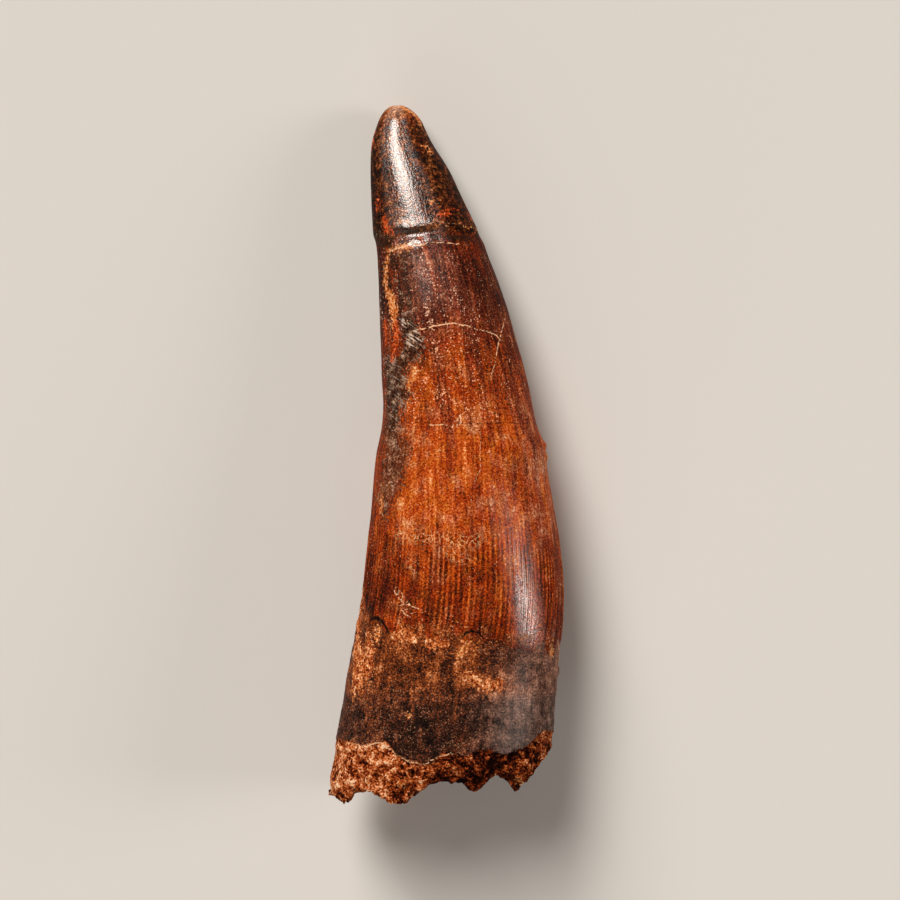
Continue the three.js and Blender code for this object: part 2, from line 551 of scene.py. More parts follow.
@dataclass(frozen=True)
class Marks:
    """Where the tooth's marks lie. Points are (x, y, radius), or strength for lines.

    Attributes:
        mineral, film: Grey mineral along the left side, thick and thin.
        crust: Rough sandstone on the root.
        tan, red, black: Small worn patches and dark spots.
        pale_lines, dark_lines: Fine cracks and scratches, with painted highlight along the chip's
            edges
        and painted shadow along the upper rims of the two dents.
        dents, chips: Shallow hollows.
        beads: Small bumps that stand out of the side edges.
        glow, shade: Places with a lighter and a darker stain.
        threads: Narrow lighter streaks down the root.
        specks_and_painted_glints: Places where the pale specks lie thickest, partly pale grit and
            partly painted glints.
        haze: Where the upper crown is faintly polished.
        polish, foot: Polished places, just below the groove and on the right of the root.
        wavy_band: Pale wriggles where the ridges begin.
        ledge: Worn slope just below the groove, which catches the light.
        big_ridge: The one ridge that stands out from the others.
        shoulder: Where the upper face turns over to the right side.
    """

    mineral: Strokes = strokes_of(
        ((-6.2, 21.6, 0.6), (-5.8, 19.6, 1.0), (-5.1, 17.4, 1.5), (-4.7, 15.6, 1.7),
         (-5.4, 13.9, 1.5), (-6.6, 12.6, 1.3)),
        ((-8.3, 13.2, 1.2), (-7.2, 11.2, 2.6), (-7.1, 8.6, 2.7), (-7.5, 5.8, 1.8), (-7.8, 4.0, 0.9)),
        ((-7.6, 27.5, 0.4), (-7.2, 26.6, 0.3)),
        ((-8.1, 24.0, 0.45), (-7.8, 23.6, 0.3)),
        ((-9.8, 30.9, 0.5), (-8.0, 30.6, 0.4)),
        lower=(((-4.0, 9.5, 0.8), (-5.0, 4.0, 1.2), (-4.2, -2.0, 0.7)),),
    )
    film: Strokes = strokes_of(
        ((-6.1, 28.2, 0.9), (-5.8, 25.2, 1.0), (-5.6, 22.4, 1.2), (-5.6, 20.0, 1.3)),
        ((-7.6, 6.0, 1.8), (-7.6, 2.6, 2.0), (-7.3, -0.3, 2.6), (-7.9, -3.2, 2.7),
         (-8.7, -5.6, 2.3), (-8.8, -7.9, 1.2)),
    )
    crust: Strokes = strokes_of(
        ((-11.9, -19.2, 0.35), (-12.2, -21.2, 0.6), (-12.6, -23.2, 0.9), (-12.8, -26.0, 1.0),
         (-12.6, -28.6, 1.4), (-12.4, -30.6, 1.7), (-12.6, -32.2, 1.3)),
        ((-11.2, -25.2, 0.5), (-10.8, -27.6, 0.8), (-10.9, -30.2, 1.0), (-11.4, -31.8, 0.6)),
        ((-13.3, -32.2, 0.35), (-13.2, -34.6, 0.2), (-13.2, -35.4, 0.1)),
        ((-12.1, -32.2, 0.4), (-12.2, -34.0, 0.35), (-12.3, -35.2, 0.15)),
        ((-10.9, -31.6, 0.3), (-11.0, -33.0, 0.15)),
        ((-7.2, -26.2, 0.45), (-6.1, -25.5, 0.9), (-4.9, -25.9, 0.95), (-4.1, -26.6, 0.5)),
        ((-3.6, -24.8, 0.35), (-3.9, -26.0, 0.3)),
        ((-2.6, -26.7, 0.5), (-1.2, -27.2, 0.7), (0.2, -26.8, 0.5)),
        ((3.2, -31.0, 0.5), (4.6, -32.2, 0.9), (6.4, -33.0, 0.9), (7.8, -32.4, 0.5)),
        lower=(((6.0, -30.0, 0.8), (7.5, -33.0, 1.2), (6.5, -35.5, 0.5)),),
    )
    tan: Strokes = strokes_of(
        ((-4.4, 12.2, 0.4), (-4.8, 10.7, 0.5), (-5.4, 9.3, 0.35)),
        ((-8.4, 28.4, 0.25), (-8.6, 26.6, 0.3), (-8.8, 24.9, 0.4), (-8.4, 23.2, 0.55),
         (-7.7, 21.8, 0.9), (-7.4, 20.2, 0.95), (-7.4, 18.9, 0.6), (-7.6, 17.9, 0.3)),
        ((-8.2, 29.2, 0.25), (-6.6, 29.2, 0.4), (-5.2, 29.7, 0.35)),
        ((-10.6, 45.4, 0.2), (-10.7, 44.6, 0.15)),
        ((-3.5, 44.2, 0.25), (-2.6, 43.4, 0.3)),
        ((-1.9, 36.0, 0.25),),
        ((-1.6, 32.5, -0.3), (0.8, 32.6, -0.15), (3.0, 32.4, -0.15), (4.4, 32.1, -0.3)),
        ((-9.1, -6.6, 0.2), (-9.3, -8.2, 0.3)),
        ((-8.9, 49.7, 0.4), (-7.3, 50.0, 0.5), (-5.9, 49.7, 0.5), (-4.9, 48.7, 0.4),
         (-4.2, 47.4, 0.3)),
        ((-9.9, -24.8, 0.55), (-10.2, -26.6, 0.7)),
        ((3.6, -26.3, 0.25), (2.9, -27.2, 0.4), (2.0, -28.4, 0.3)),
        ((15.1, -27.0, 0.5), (15.2, -28.8, 0.3)),
        ((-5.1, -36.7, 0.15),),
        ((-6.9, -46.5, 0.25), (-6.2, -46.7, 0.2)),
        ((10.4, -46.5, 0.4), (10.8, -47.6, 0.45)),
    )
    red: Strokes = strokes_of(
        ((-8.7, 18.9, 0.5), (-8.6, 17.2, 0.4), (-8.7, 15.6, 0.3)),
        ((-7.3, 18.4, 0.5), (-7.0, 16.6, 0.5), (-7.5, 14.8, 0.4), (-7.8, 13.4, 0.3)),
        ((-10.4, 46.5, 0.15), (-10.7, 44.4, 0.2)),
        ((-9.9, 36.4, 0.25), (-9.9, 35.1, 0.2)),
        ((-8.9, 33.8, 0.2), (-8.6, 32.1, 0.3), (-7.6, 31.7, 0.25)),
        ((-1.2, 34.1, 0.25), (0.3, 34.6, 0.35), (1.4, 35.3, 0.2)),
        ((3.2, 34.6, 0.2), (3.6, 33.8, 0.2)),
    )
    black: Strokes = strokes_of(
        ((-7.6, 27.4, 0.4), (-7.4, 26.2, 0.35)),
        ((-8.0, 24.0, 0.3),),
        ((-5.7, 27.2, 0.3),),
        ((-9.9, 30.4, 0.5), (-8.2, 30.0, 0.5)),
        ((-6.6, 31.9, 0.3), (-4.6, 31.7, 0.3), (-2.6, 32.0, 0.2)),
        ((-2.0, 30.9, 0.4), (1.5, 30.9, 0.5), (4.4, 30.6, 0.45)),
        ((-6.2, 49.2, 0.15),),
        ((-5.9, 47.9, 0.15),),
        ((-6.0, -41.0, 0.3), (-4.6, -41.4, 0.4)),
    )
    pale_lines: Strokes = strokes_of(
        ((-4.6, 17.4, 0.3), (-4.0, 17.6, 0.7), (-3.2, 17.7, 1.1), (-2.3, 18.0, 1.1),
         (-0.9, 18.3, 1.2), (1.3, 18.5, 1.1), (3.0, 18.2, 0.9), (4.2, 17.7, 1.0), (5.6, 17.5, 1.1),
         (7.8, 16.6, 0.9)),
        ((7.8, 16.5, 0.9), (8.0, 17.4, 0.9), (8.5, 19.2, 0.6), (8.6, 19.8, 0)),
        ((7.6, 16.3, 0.9), (7.4, 15.2, 0.8), (7.1, 13.5, 0.5), (6.6, 11.6, 0.4), (6.1, 9.0, 0)),
        ((5.0, 3.6, 0), (5.0, 3.3, 0.5), (4.8, 1.2, 0.4), (5.0, -2.4, 0.4), (4.2, -3.9, 0.3),
         (4.0, -4.3, 0)),
        # Painted highlight: these three pale lines stand for the light caught along the edges of the
        # chip.
        ((-7.9, -18.8, 0), (-7.6, -19.1, 0.8), (-7.2, -20.0, 0.8), (-6.3, -21.0, 0.9),
         (-5.1, -21.6, 0.8), (-3.9, -22.0, 0.5), (-3.5, -22.1, 0)),
        ((-7.1, -18.7, 0), (-6.9, -19.1, 0.5), (-6.2, -20.1, 0.5), (-5.4, -20.8, 0)),
        ((-6.5, -22.1, 0), (-6.2, -22.3, 0.7), (-5.4, -23.0, 0.8), (-4.9, -23.3, 0)),
        ((-2.5, 4.0, 0), (-2.2, 4.0, 0.8), (0.1, 4.0, 0.8), (0.4, 4.0, 0)),
        ((0.8, 3.6, 0), (0.9, 3.7, 1.1), (2.0, 5.3, 1.0), (2.2, 5.6, 0)),
        ((1.5, 3.6, 0), (1.6, 3.7, 1.0), (2.7, 5.2, 0.9), (2.9, 5.5, 0)),
        ((-8.8, 28.8, 0.3), (-7.5, 29.1, 0.9), (-6.6, 29.4, 1), (-5.6, 29.7, 1), (-4.8, 30.1, 1),
         (-4.0, 29.7, 0.9), (-3.3, 29.8, 0.9), (-2.0, 30.1, 0.7), (0.6, 30.0, 0.6),
         (2.3, 30.0, 0.4), (3.6, 29.8, 0)),
        ((-4.2, 32.4, 0), (-3.2, 32.8, 0.5), (-0.9, 33.1, 0.4), (1.3, 32.8, 0.2), (2.4, 32.8, 0)),
        ((-14.6, -41.2, 0.3), (-11.5, -41.5, 0.9), (-9.4, -40.9, 0.9), (-8.2, -41.8, 1),
         (-7.2, -42.6, 1), (-5.2, -43.5, 1), (-3.0, -43.9, 0.9), (-1.5, -43.0, 0.5),
         (0.4, -42.4, 0.9), (1.6, -42.6, 0.3)),
        lower=(((-6.0, 12.0, 0), (-2.0, 13.5, 0.9), (2.5, 12.8, 0.8), (6.0, 13.6, 0)),),
    )
    dark_lines: Strokes = strokes_of(
        ((0.3, 4.2, 0), (1.0, 4.2, 0.5), (3.5, 4.2, 0.5), (8.2, 4.3, 0.6), (12.1, 4.3, 0.6),
         (13.0, 4.2, 0)),
        ((12.8, -25.3, 0), (13.2, -25.3, 0.6), (14.3, -25.2, 0.6), (15.8, -25.5, 0.6),
         (16.4, -25.4, 0)),
        # Painted shadow: these two dark arcs lie along the upper rims of the two dents.
        ((-11.1, -24.6, 0.5), (-10.7, -23.7, 2.2), (-9.9, -23.4, 2.6), (-9.1, -23.9, 2.4),
         (-8.5, -24.8, 1.8), (-8.0, -26.0, 0.4)),
        ((2.3, -26.0, 0.4), (2.8, -25.4, 1.8), (3.6, -25.1, 2.2), (4.6, -25.3, 1.8),
         (5.4, -26.3, 0.4)),
        ((-4.5, -22.6, 0), (-2.6, -23.0, 0.7), (0.4, -23.3, 0.7), (2.6, -23.8, 0.5),
         (4.4, -24.2, 0)),
        ((-0.7, 3.0, 0), (-0.6, 2.6, 0.6), (-0.5, 1.6, 0.5), (-0.4, 1.2, 0)),
        ((9.0, -34.5, 0), (11.0, -34.6, 0.6), (14.5, -34.4, 0.6), (15.8, -34.2, 0)),
        lower=(((-2.0, -6.0, 0), (-1.5, -10.0, 0.8), (0.5, -15.0, 0.8), (0.8, -19.0, 0)),),
    )
    dents: Strokes = strokes_of(
        ((-9.9, -24.8, 1.1), (-10.1, -26.0, 0.9), (-10.3, -27.4, 0.4)),
        ((3.7, -26.5, 0.95), (3.2, -27.6, 0.7), (2.6, -28.8, 0.3)),
    )
    chips: Strokes = strokes_of(
        ((-5.9, -36.4, 0.3), (-4.9, -36.7, 0.25)),
        ((15.2, -27.1, 0.4), (15.35, -28.8, 0.3)),
        ((-7.4, -19.2, 0.2), (-6.2, -20.8, 0.4), (-5.0, -21.5, 0.2)),
        ((7.9, -45.0, 0.5), (7.9, -46.4, 0.5)),
    )
    beads: Strokes = strokes_of(
        ((14.2, 1.0, 0.45),),
        ((16.1, -31.2, 0.5),),
        ((14.7, -0.6, 0.3),),
    )
    glow: Strokes = strokes_of(
        ((-9.8, -22.8, 0.5), (-8.0, -23.6, 0.8), (-6.4, -24.6, 0.6)),
        ((-2.9, -31.0, 0.5), (-2.0, -31.9, 0.7)),
        ((1.8, -27.8, 0.4), (1.6, -31.0, 0.35), (1.6, -33.8, 0.3)),
        ((2.7, -31.5, 0.9), (4.9, -32.7, 1.1), (7.8, -33.3, 0.9), (11.8, -34.1, 0.6)),
        ((-11.6, -35.6, 0.9), (-10.8, -37.6, 0.8)),
    )
    shade: Strokes = strokes_of(
        ((-6.6, -30.5, 2.2), (-4.3, -31.6, 1.6)),
        ((6.0, -28.4, 1.6), (9.6, -28.8, 1.8), (13.2, -29.6, 1.8)),
        ((-6.6, -38.4, 1.6), (-1.0, -40.4, 2.0), (4.0, -37.6, 1.8)),
    )
    threads: Strokes = strokes_of(
        ((-8.1, -34.4, 0.15), (-8.2, -36.2, 0.15)),
        ((-7.2, -37.4, 0.15), (-7.1, -40.6, 0.15)),
        ((-4.9, -33.6, 0.25), (-4.8, -37.2, 0.2)),
        ((-5.8, -38.0, 0.2), (-5.7, -40.6, 0.15)),
        ((1.4, -34.4, 0.2), (1.2, -37.9, 0.15)),
    )
    # Pale specks, partly pale grit and partly painted glints where the lights catch the skin.
    specks_and_painted_glints: Strokes = strokes_of(
        ((-6.9, 30.2, 0.6), (-5.6, 30.6, 0.6), (-4.0, 30.8, 0.6)),
        ((-3.6, 28.6, 1.0), (-3.2, 26.0, 1.1)),
        ((-5.8, 18.4, 1.1), (-4.4, 16.2, 1.4)),
        ((5.4, -28.0, 1.0), (8.8, -29.0, 1.4), (12.0, -29.2, 1.0)),
        ((2.6, 6.6, 1.0), (6.0, 5.2, 1.2)),
        ((8.4, -33.0, 0.7), (12.6, -33.7, 0.5)),
        ((-2.6, 10.4, 0.8), (-0.6, 8.6, 0.8)),
    )
    haze: Strokes = strokes_of(((-4.0, 28.8, 1.2), (-3.4, 25.6, 1.2), (-3.0, 22.4, 0.8)))
    ledge: Strokes = strokes_of(((-6.8, 28.9, 0.5), (-5.4, 29.3, 0.7), (-3.8, 29.6, 0.6)))
    polish: Strokes = strokes_of(((-6.6, 29.9, 0.5), (-5.4, 30.4, 0.8), (-3.6, 30.5, 0.7)))
    foot: Strokes = strokes_of(((11.2, -31.5, 1.0), (10.4, -36.0, 2.5), (9.6, -41.0, 2.5)))
    wavy_band: Strokes = strokes_of(
        ((-6.6, -11.6, 0.7), (-2.3, -12.0, 0.8), (2.7, -12.6, 0.8), (4.9, -12.2, 0.5)),
        ((-5.2, -15.4, 0.4), (-4.4, -16.6, 0.4)),
        ((0.6, -14.2, 0.6), (2.6, -15.0, 0.5)),
    )
    big_ridge: Strokes = strokes_of(((-1.6, -11.8, 0.25), (-1.6, -21.4, 0.25)))
    shoulder: Strokes = strokes_of(
        ((4.0, 7.0, 0), (6.2, 0.0, 0), (8.9, -8.0, 0), (10.6, -15.0, 0), (11.6, -22.0, 0),
         (12.2, -30.0, 0)),
    )


# ---------------------------------------------------------------- zones and relief


@dataclass
class ToothZones:
    """Fields over the skin that say where each zone and mark is.

    A zone's field is in millimetres, above 0 inside it, so that its edge stays crisp
    between points of the mesh.

    Attributes:
        grid: The points that the fields are measured at.
        marks: Where the marks lie.
        ring_upper, ring_lower: The groove round the upper crown, as (x, y).
        crown_foot_upper, crown_foot_lower: Where crown meets root, as (x, y).
        bone_top_upper, bone_top_lower: Where the root's skin is broken off, as (x, y).
        crown_tone, root_tone: How light the stain is, as (y, tone).
        bone_tone: The same for the broken bone, as (x, tone), partly painted shade in its middle.
        speck_along, gloss_along, ridge_along: Strengths, as (y, share).
        ridge_count: Fine ridges round the crown.
        ridge_radius: Radius that the unevenness of the ridges is wound at.
        ridge_waver, ridge_patchiness: How far the ridges wander, in radians, and how uneven
            they are.
        bone_reach: The bone's field goes no higher than this, which is what the break has.
        edge_wander: How far the edge of each zone and mark wanders, as (name, coarsely, finely).
        tone_marks, gloss_marks, speck_marks, worm_marks: What marks add to the tone, the polish,
            the specks and the pale wriggles, as (mark, gain, softness).
        left_root_tone, left_painted_shade, right_painted_shade: Tone of the root's left, and how much
        painted shade darkens the left side and the right of the upper crown.
        root_cloud, tone_grain: How uneven the tone is on the root, and everywhere.
        plum_crown, plum_flank: Most plum on the upper crown and on the crown's right flank.
        grey_right, grey_low: Most grey on the right of the root and low on it.
        painted_glint_fade: How much thinner the specks, partly painted glints, lie on the right side,
            away from the lights.
        fields: Every field by name.
    """

    grid: SkinGrid
    marks: Marks
    ring_upper: Places = (
        (-11.0, 30.7), (-8.8, 31.0), (-6.6, 31.2), (-2.3, 31.7), (1.3, 31.8), (5.2, 31.5),
    )
    ring_lower: Places = ((-11.0, 30.7), (-7.5, 30.2), (-3.0, 30.5), (1.0, 31.3), (5.2, 31.5))
    crown_foot_upper: Places = (
        (-13.4, -19.4), (-12.1, -22.6), (-10.9, -23.6), (-8.1, -25.3), (-5.9, -25.0),
        (-3.7, -24.9), (-0.9, -26.2), (2.3, -25.6), (5.0, -25.9), (9.2, -26.9),
        (12.8, -27.5), (16.4, -27.1),
    )
    crown_foot_lower: Places = (
        (-13.4, -19.4), (-10.5, -22.8), (-6.0, -24.6), (0.0, -23.9), (5.0, -25.6),
        (11.0, -25.9), (16.4, -27.1),
    )
    bone_top_upper: Places = (
        (-16.7, -41.0), (-13.8, -41.2), (-11.5, -41.5), (-10.4, -41.0), (-9.4, -40.8),
        (-8.4, -41.6), (-7.2, -42.6), (-5.9, -43.2), (-3.0, -43.9), (-2.0, -43.8),
        (-1.3, -42.8), (-0.7, -42.3), (2.7, -42.5), (6.3, -42.0), (8.5, -42.5),
        (9.9, -42.3), (11.4, -41.6), (12.8, -40.9), (14.3, -39.6), (15.8, -40.0),
    )
    bone_top_lower: Places = (
        (-16.7, -41.0), (-13.0, -42.6), (-9.0, -43.9), (-4.5, -42.4), (0.0, -43.0),
        (5.0, -41.4), (9.0, -42.2), (13.0, -40.2), (15.8, -40.0),
    )
    crown_tone: Places = (
        (-27.0, 0.4), (-23.0, 0.4), (-18.0, 0.43), (-13.0, 0.5), (-10.0, 0.58),
        (-5.0, 0.6), (0.0, 0.58), (5.0, 0.52), (10.0, 0.49), (15.0, 0.45),
        (20.0, 0.4), (25.0, 0.35), (29.0, 0.35), (31.5, 0.28), (34.0, 0.27),
        (40.0, 0.27), (46.0, 0.32), (48.5, 0.5), (50.2, 0.62),
    )
    root_tone: Places = (
        (-43.5, 0.16), (-39.0, 0.2), (-35.2, 0.27), (-33.9, 0.4), (-28.0, 0.42),
        (-25.0, 0.43), (-20.0, 0.5),
    )
    # The darker middle is partly painted shade, where the bevelled break turns down away from the
    # lights.
    bone_tone: Places = (
        (-17.0, 0.62), (-12.0, 0.65), (-7.0, 0.59), (-4.0, 0.51), (-1.0, 0.36),
        (3.0, 0.28), (7.0, 0.25), (10.0, 0.34), (13.0, 0.45), (16.0, 0.54),
    )
    speck_along: Places = (
        (-50.2, 0.0), (-42.0, 0.58), (-36.0, 0.58), (-28.0, 0.5), (-20.0, 0.3),
        (-15.0, 0.35), (-10.0, 0.3), (0.0, 0.3), (6.0, 0.55), (14.0, 0.55),
        (24.0, 0.5), (29.0, 0.45), (33.0, 0.22), (50.2, 0.22),
    )
    gloss_along: Places = (
        (-50.2, 0.0), (18.0, 0.0), (24.0, 0.12), (29.5, 0.22), (31.0, 0.8), (50.2, 1.0),
    )
    ridge_along: Places = (
        (-28.0, 0.2), (-24.5, 0.7), (-21.0, 1.0), (-13.5, 1.0), (-11.0, 0.5),
        (-4.0, 0.3), (6.0, 0.22), (18.0, 0.2), (28.0, 0.2), (32.0, 0.05), (46.0, 0.0),
    )
    ridge_count: int = 118
    ridge_radius: float = 12.0
    ridge_waver: float = 0.9
    ridge_patchiness: float = 0.9
    bone_reach: float = 5.0
    edge_wander: Effects = (
        ("ring", 0.12, 0.0), ("root", 0.6, 0.0), ("bone", 0.3, 0.0), ("pale_line", 0.1, 0.08),
        ("dark_line", 0.06, 0.0), ("mineral", 0.45, 0.25), ("film", 0.5, 0.25),
        ("crust", 0.4, 0.25), ("tan", 0.3, 0.2), ("red", 0.15, 0.12), ("black", 0.15, 0.12),
    )
    tone_marks: Effects = (
        ("glow", 0.16, 0.7), ("shade", -0.09, 1.2), ("threads", 0.2, 0.3), ("big_ridge", 0.12, 0.3),
    )
    gloss_marks: Effects = (
        ("ledge", 0.6, 0.8), ("polish", 0.9, 0.5), ("haze", 0.25, 1.4), ("foot", 0.55, 2.5),
    )
    speck_marks: Effects = (("specks_and_painted_glints", 0.22, 1.0),)
    worm_marks: Effects = (("wavy_band", 1.0, 0.9),)
    left_root_tone: float = 0.13
    left_painted_shade: float = 0.19
    right_painted_shade: float = 0.1
    root_cloud: float = 0.1
    tone_grain: float = 0.03
    plum_crown: float = 0.65
    plum_flank: float = 0.35
    grey_right: float = 0.38
    grey_low: float = 0.55
    painted_glint_fade: float = 0.15
    fields: dict[str, np.ndarray] = field(init=False)

    def __post_init__(self) -> None:
        """Measure every field."""
        points = self.grid.points
        y = points[..., 1]
        ragged = Noise(1.3, 11).smooth(points, 3)
        fine = Noise(0.6, 12).smooth(points, 2)
        inside_break = np.arange(len(points))[:, None] < self.grid.break_rings
        bone = np.minimum(self._line(self.bone_top_upper, self.bone_top_lower) - y, self.bone_reach)
        pale, pale_near = self.grid.offset_from(self.marks.pale_lines)
        dark, dark_near = self.grid.offset_from(self.marks.dark_lines)
        zones = {
            "ring": y - self._line(self.ring_upper, self.ring_lower),
            "root": self._line(self.crown_foot_upper, self.crown_foot_lower) - y,
            "bone": np.where(inside_break, self.bone_reach, bone),
            "pale_line": pale,
            "dark_line": dark,
        }
        self.fields = {"pale_near": pale_near, "dark_near": dark_near}
        for name, coarsely, finely in self.edge_wander:
            inside = zones[name] if name in zones else self.grid.depth_in(getattr(self.marks, name))
            self.fields[name] = inside + coarsely * ragged + finely * fine
        self.fields["flute"] = self._flutes()
        self.fields["tone"] = self._tone() + self.tone_grain * ragged
        self.fields["plum"] = self._plum()
        self.fields["speck"] = self._speck()
        self.fields["gloss"] = self._gloss()
        self.fields["worm"] = self._with_marks(np.zeros_like(y), self.worm_marks)

    def _line(self, upper: Places, lower: Places) -> np.ndarray:
        """Give the place of a line round the tooth at every column and row.

        Args:
            upper: The line on the upper face, as (x, y).
            lower: The line on the underside, as (x, y).

        Returns:
            Its place along the tooth, in the shape of the grid.
        """
        across = 0.5 * (1 + np.cos(self.grid.angle))
        x = upper[0][0] + (upper[-1][0] - upper[0][0]) * across
        on_top = np.sin(self.grid.angle) >= 0
        line = np.where(on_top, smooth_at(upper, x), smooth_at(lower, x))
        return line[None, :] + np.zeros((len(self.grid.points), 1))

    def _with_marks(self, base: np.ndarray, effects: Effects) -> np.ndarray:
        """Add what some marks do to a field.

        Args:
            base: The field without them.
            effects: Each mark's name, its gain and the softness of its edge.

        Returns:
            The field with them.
        """
        for name, gain, softness in effects:
            depth = self.grid.depth_in(getattr(self.marks, name))
            base = base + gain * soft_step(depth, -softness, softness)
        return base

    def _flutes(self) -> np.ndarray:
        """Draw the fine lengthwise ridges of the crown, which fade out at its foot.

        Returns:
            Values from -1 in a groove to 1 on a crest.
        """
        angle, y = self.grid.angle, self.grid.points[..., 1]
        wound = np.zeros(self.grid.points.shape)
        wound[..., 0] = self.ridge_radius * np.cos(angle)
        wound[..., 1] = y
        wound[..., 2] = self.ridge_radius * np.sin(angle)
        waver = self.ridge_waver * Noise(2.6, 31, stretch=5).smooth(wound, 2)
        wave = np.sin(self.ridge_count * angle + waver)
        patchy = self.ridge_patchiness * Noise(1.3, 32, stretch=7).smooth(wound, 2)
        uneven = np.clip(0.6 + patchy, 0, 1.5)
        strength = smooth_at(self.ridge_along, y) * soft_step(self.fields["root"], 0.8, -1.2)
        return wave * uneven * strength

    def _tone(self) -> np.ndarray:
        """Work out how light and orange the stain is.

        Returns:
            Tones from 0, near black, to 1.
        """
        points = self.grid.points
        x, y = points[..., 0], points[..., 1]
        wander = y + Noise(4.0, 14).smooth(points, 2)
        in_root = soft_step(self.fields["root"], -0.1, 0.1)
        in_bone = soft_step(self.fields["bone"], -0.1, 0.1)
        tone = smooth_at(self.crown_tone, wander)
        left = self.left_root_tone * soft_step(x, -8.0, -12.0)
        tone = tone + (smooth_at(self.root_tone, wander) + left - tone) * in_root
        tone = self._with_marks(tone, self.tone_marks)
        tone = tone + self.root_cloud * Noise(3.4, 15).smooth(points, 2) * in_root
        side = np.cos(self.grid.angle)
        # Painted shade: the left side, and the right of the upper crown, are darkened in the tone.
        tone = tone - self.left_painted_shade * soft_step(-side, 0.58, 0.98)
        tone = tone - self.right_painted_shade * soft_step(side, 0.1, 0.8) * soft_step(y, 4.0, 16.0)
        bone_tone = smooth_at(self.bone_tone, x + 0.9 * Noise(2.0, 16).smooth(points, 2))
        return tone + (bone_tone - tone) * in_bone

    def _plum(self) -> np.ndarray:
        """Work out how far the stain leans to plum, and to grey on the right of the root.

        Returns:
            Shares from 0 to 1.
        """
        points = self.grid.points
        x, y = points[..., 0] + 1.2 * Noise(1.8, 17).smooth(points, 2), points[..., 1]
        upper = soft_step(y, 12.0, 22.0) * soft_step(y, 31.0, 28.0)
        flank = soft_step(np.cos(self.grid.angle), 0.55, 0.95) * soft_step(y, 20.0, 5.0)
        right = soft_step(y, -26.0, -30.0) * soft_step(x, 4.5, 12.5)
        low = soft_step(y, -31.5, -35.5) * (0.08 + 0.92 * soft_step(x, 2.0, 9.5))
        grey = np.maximum(self.grey_right * right, self.grey_low * low)
        return np.maximum(self.plum_crown * upper + self.plum_flank * flank, grey)

    def _speck(self) -> np.ndarray:
        """Work out how thick the fine pale specks lie, partly pale grit and partly painted glints:
        less on the right side, away from the lights.

        Returns:
            Shares from 0 to 1.
        """
        # Painted glints: the specks thin out on the right side, away from the lights.
        right = soft_step(np.cos(self.grid.angle), 0.2, 0.8)
        speck = smooth_at(self.speck_along, self.grid.points[..., 1]) - self.painted_glint_fade * right
        return np.clip(self._with_marks(speck, self.speck_marks), 0, 1)

    def _gloss(self) -> np.ndarray:
        """Work out how polished the skin is: least on the two sides of the tip.

        Returns:
            Shares from 0 to 1.
        """
        side, y = np.cos(self.grid.angle), self.grid.points[..., 1]
        worn = soft_step(-side, 0.4, 0.8) + soft_step(side, 0.05, 0.5)
        turn = soft_step(self.grid.depth_in(self.marks.shoulder), -4.0, -0.3)
        silk = turn * soft_step(y, -1.0, -18.0) * soft_step(y, -29.5, -25.5)
        gloss = smooth_at(self.gloss_along, y) * (1 - worn) + silk
        return np.clip(self._with_marks(gloss, self.gloss_marks), 0, 1)


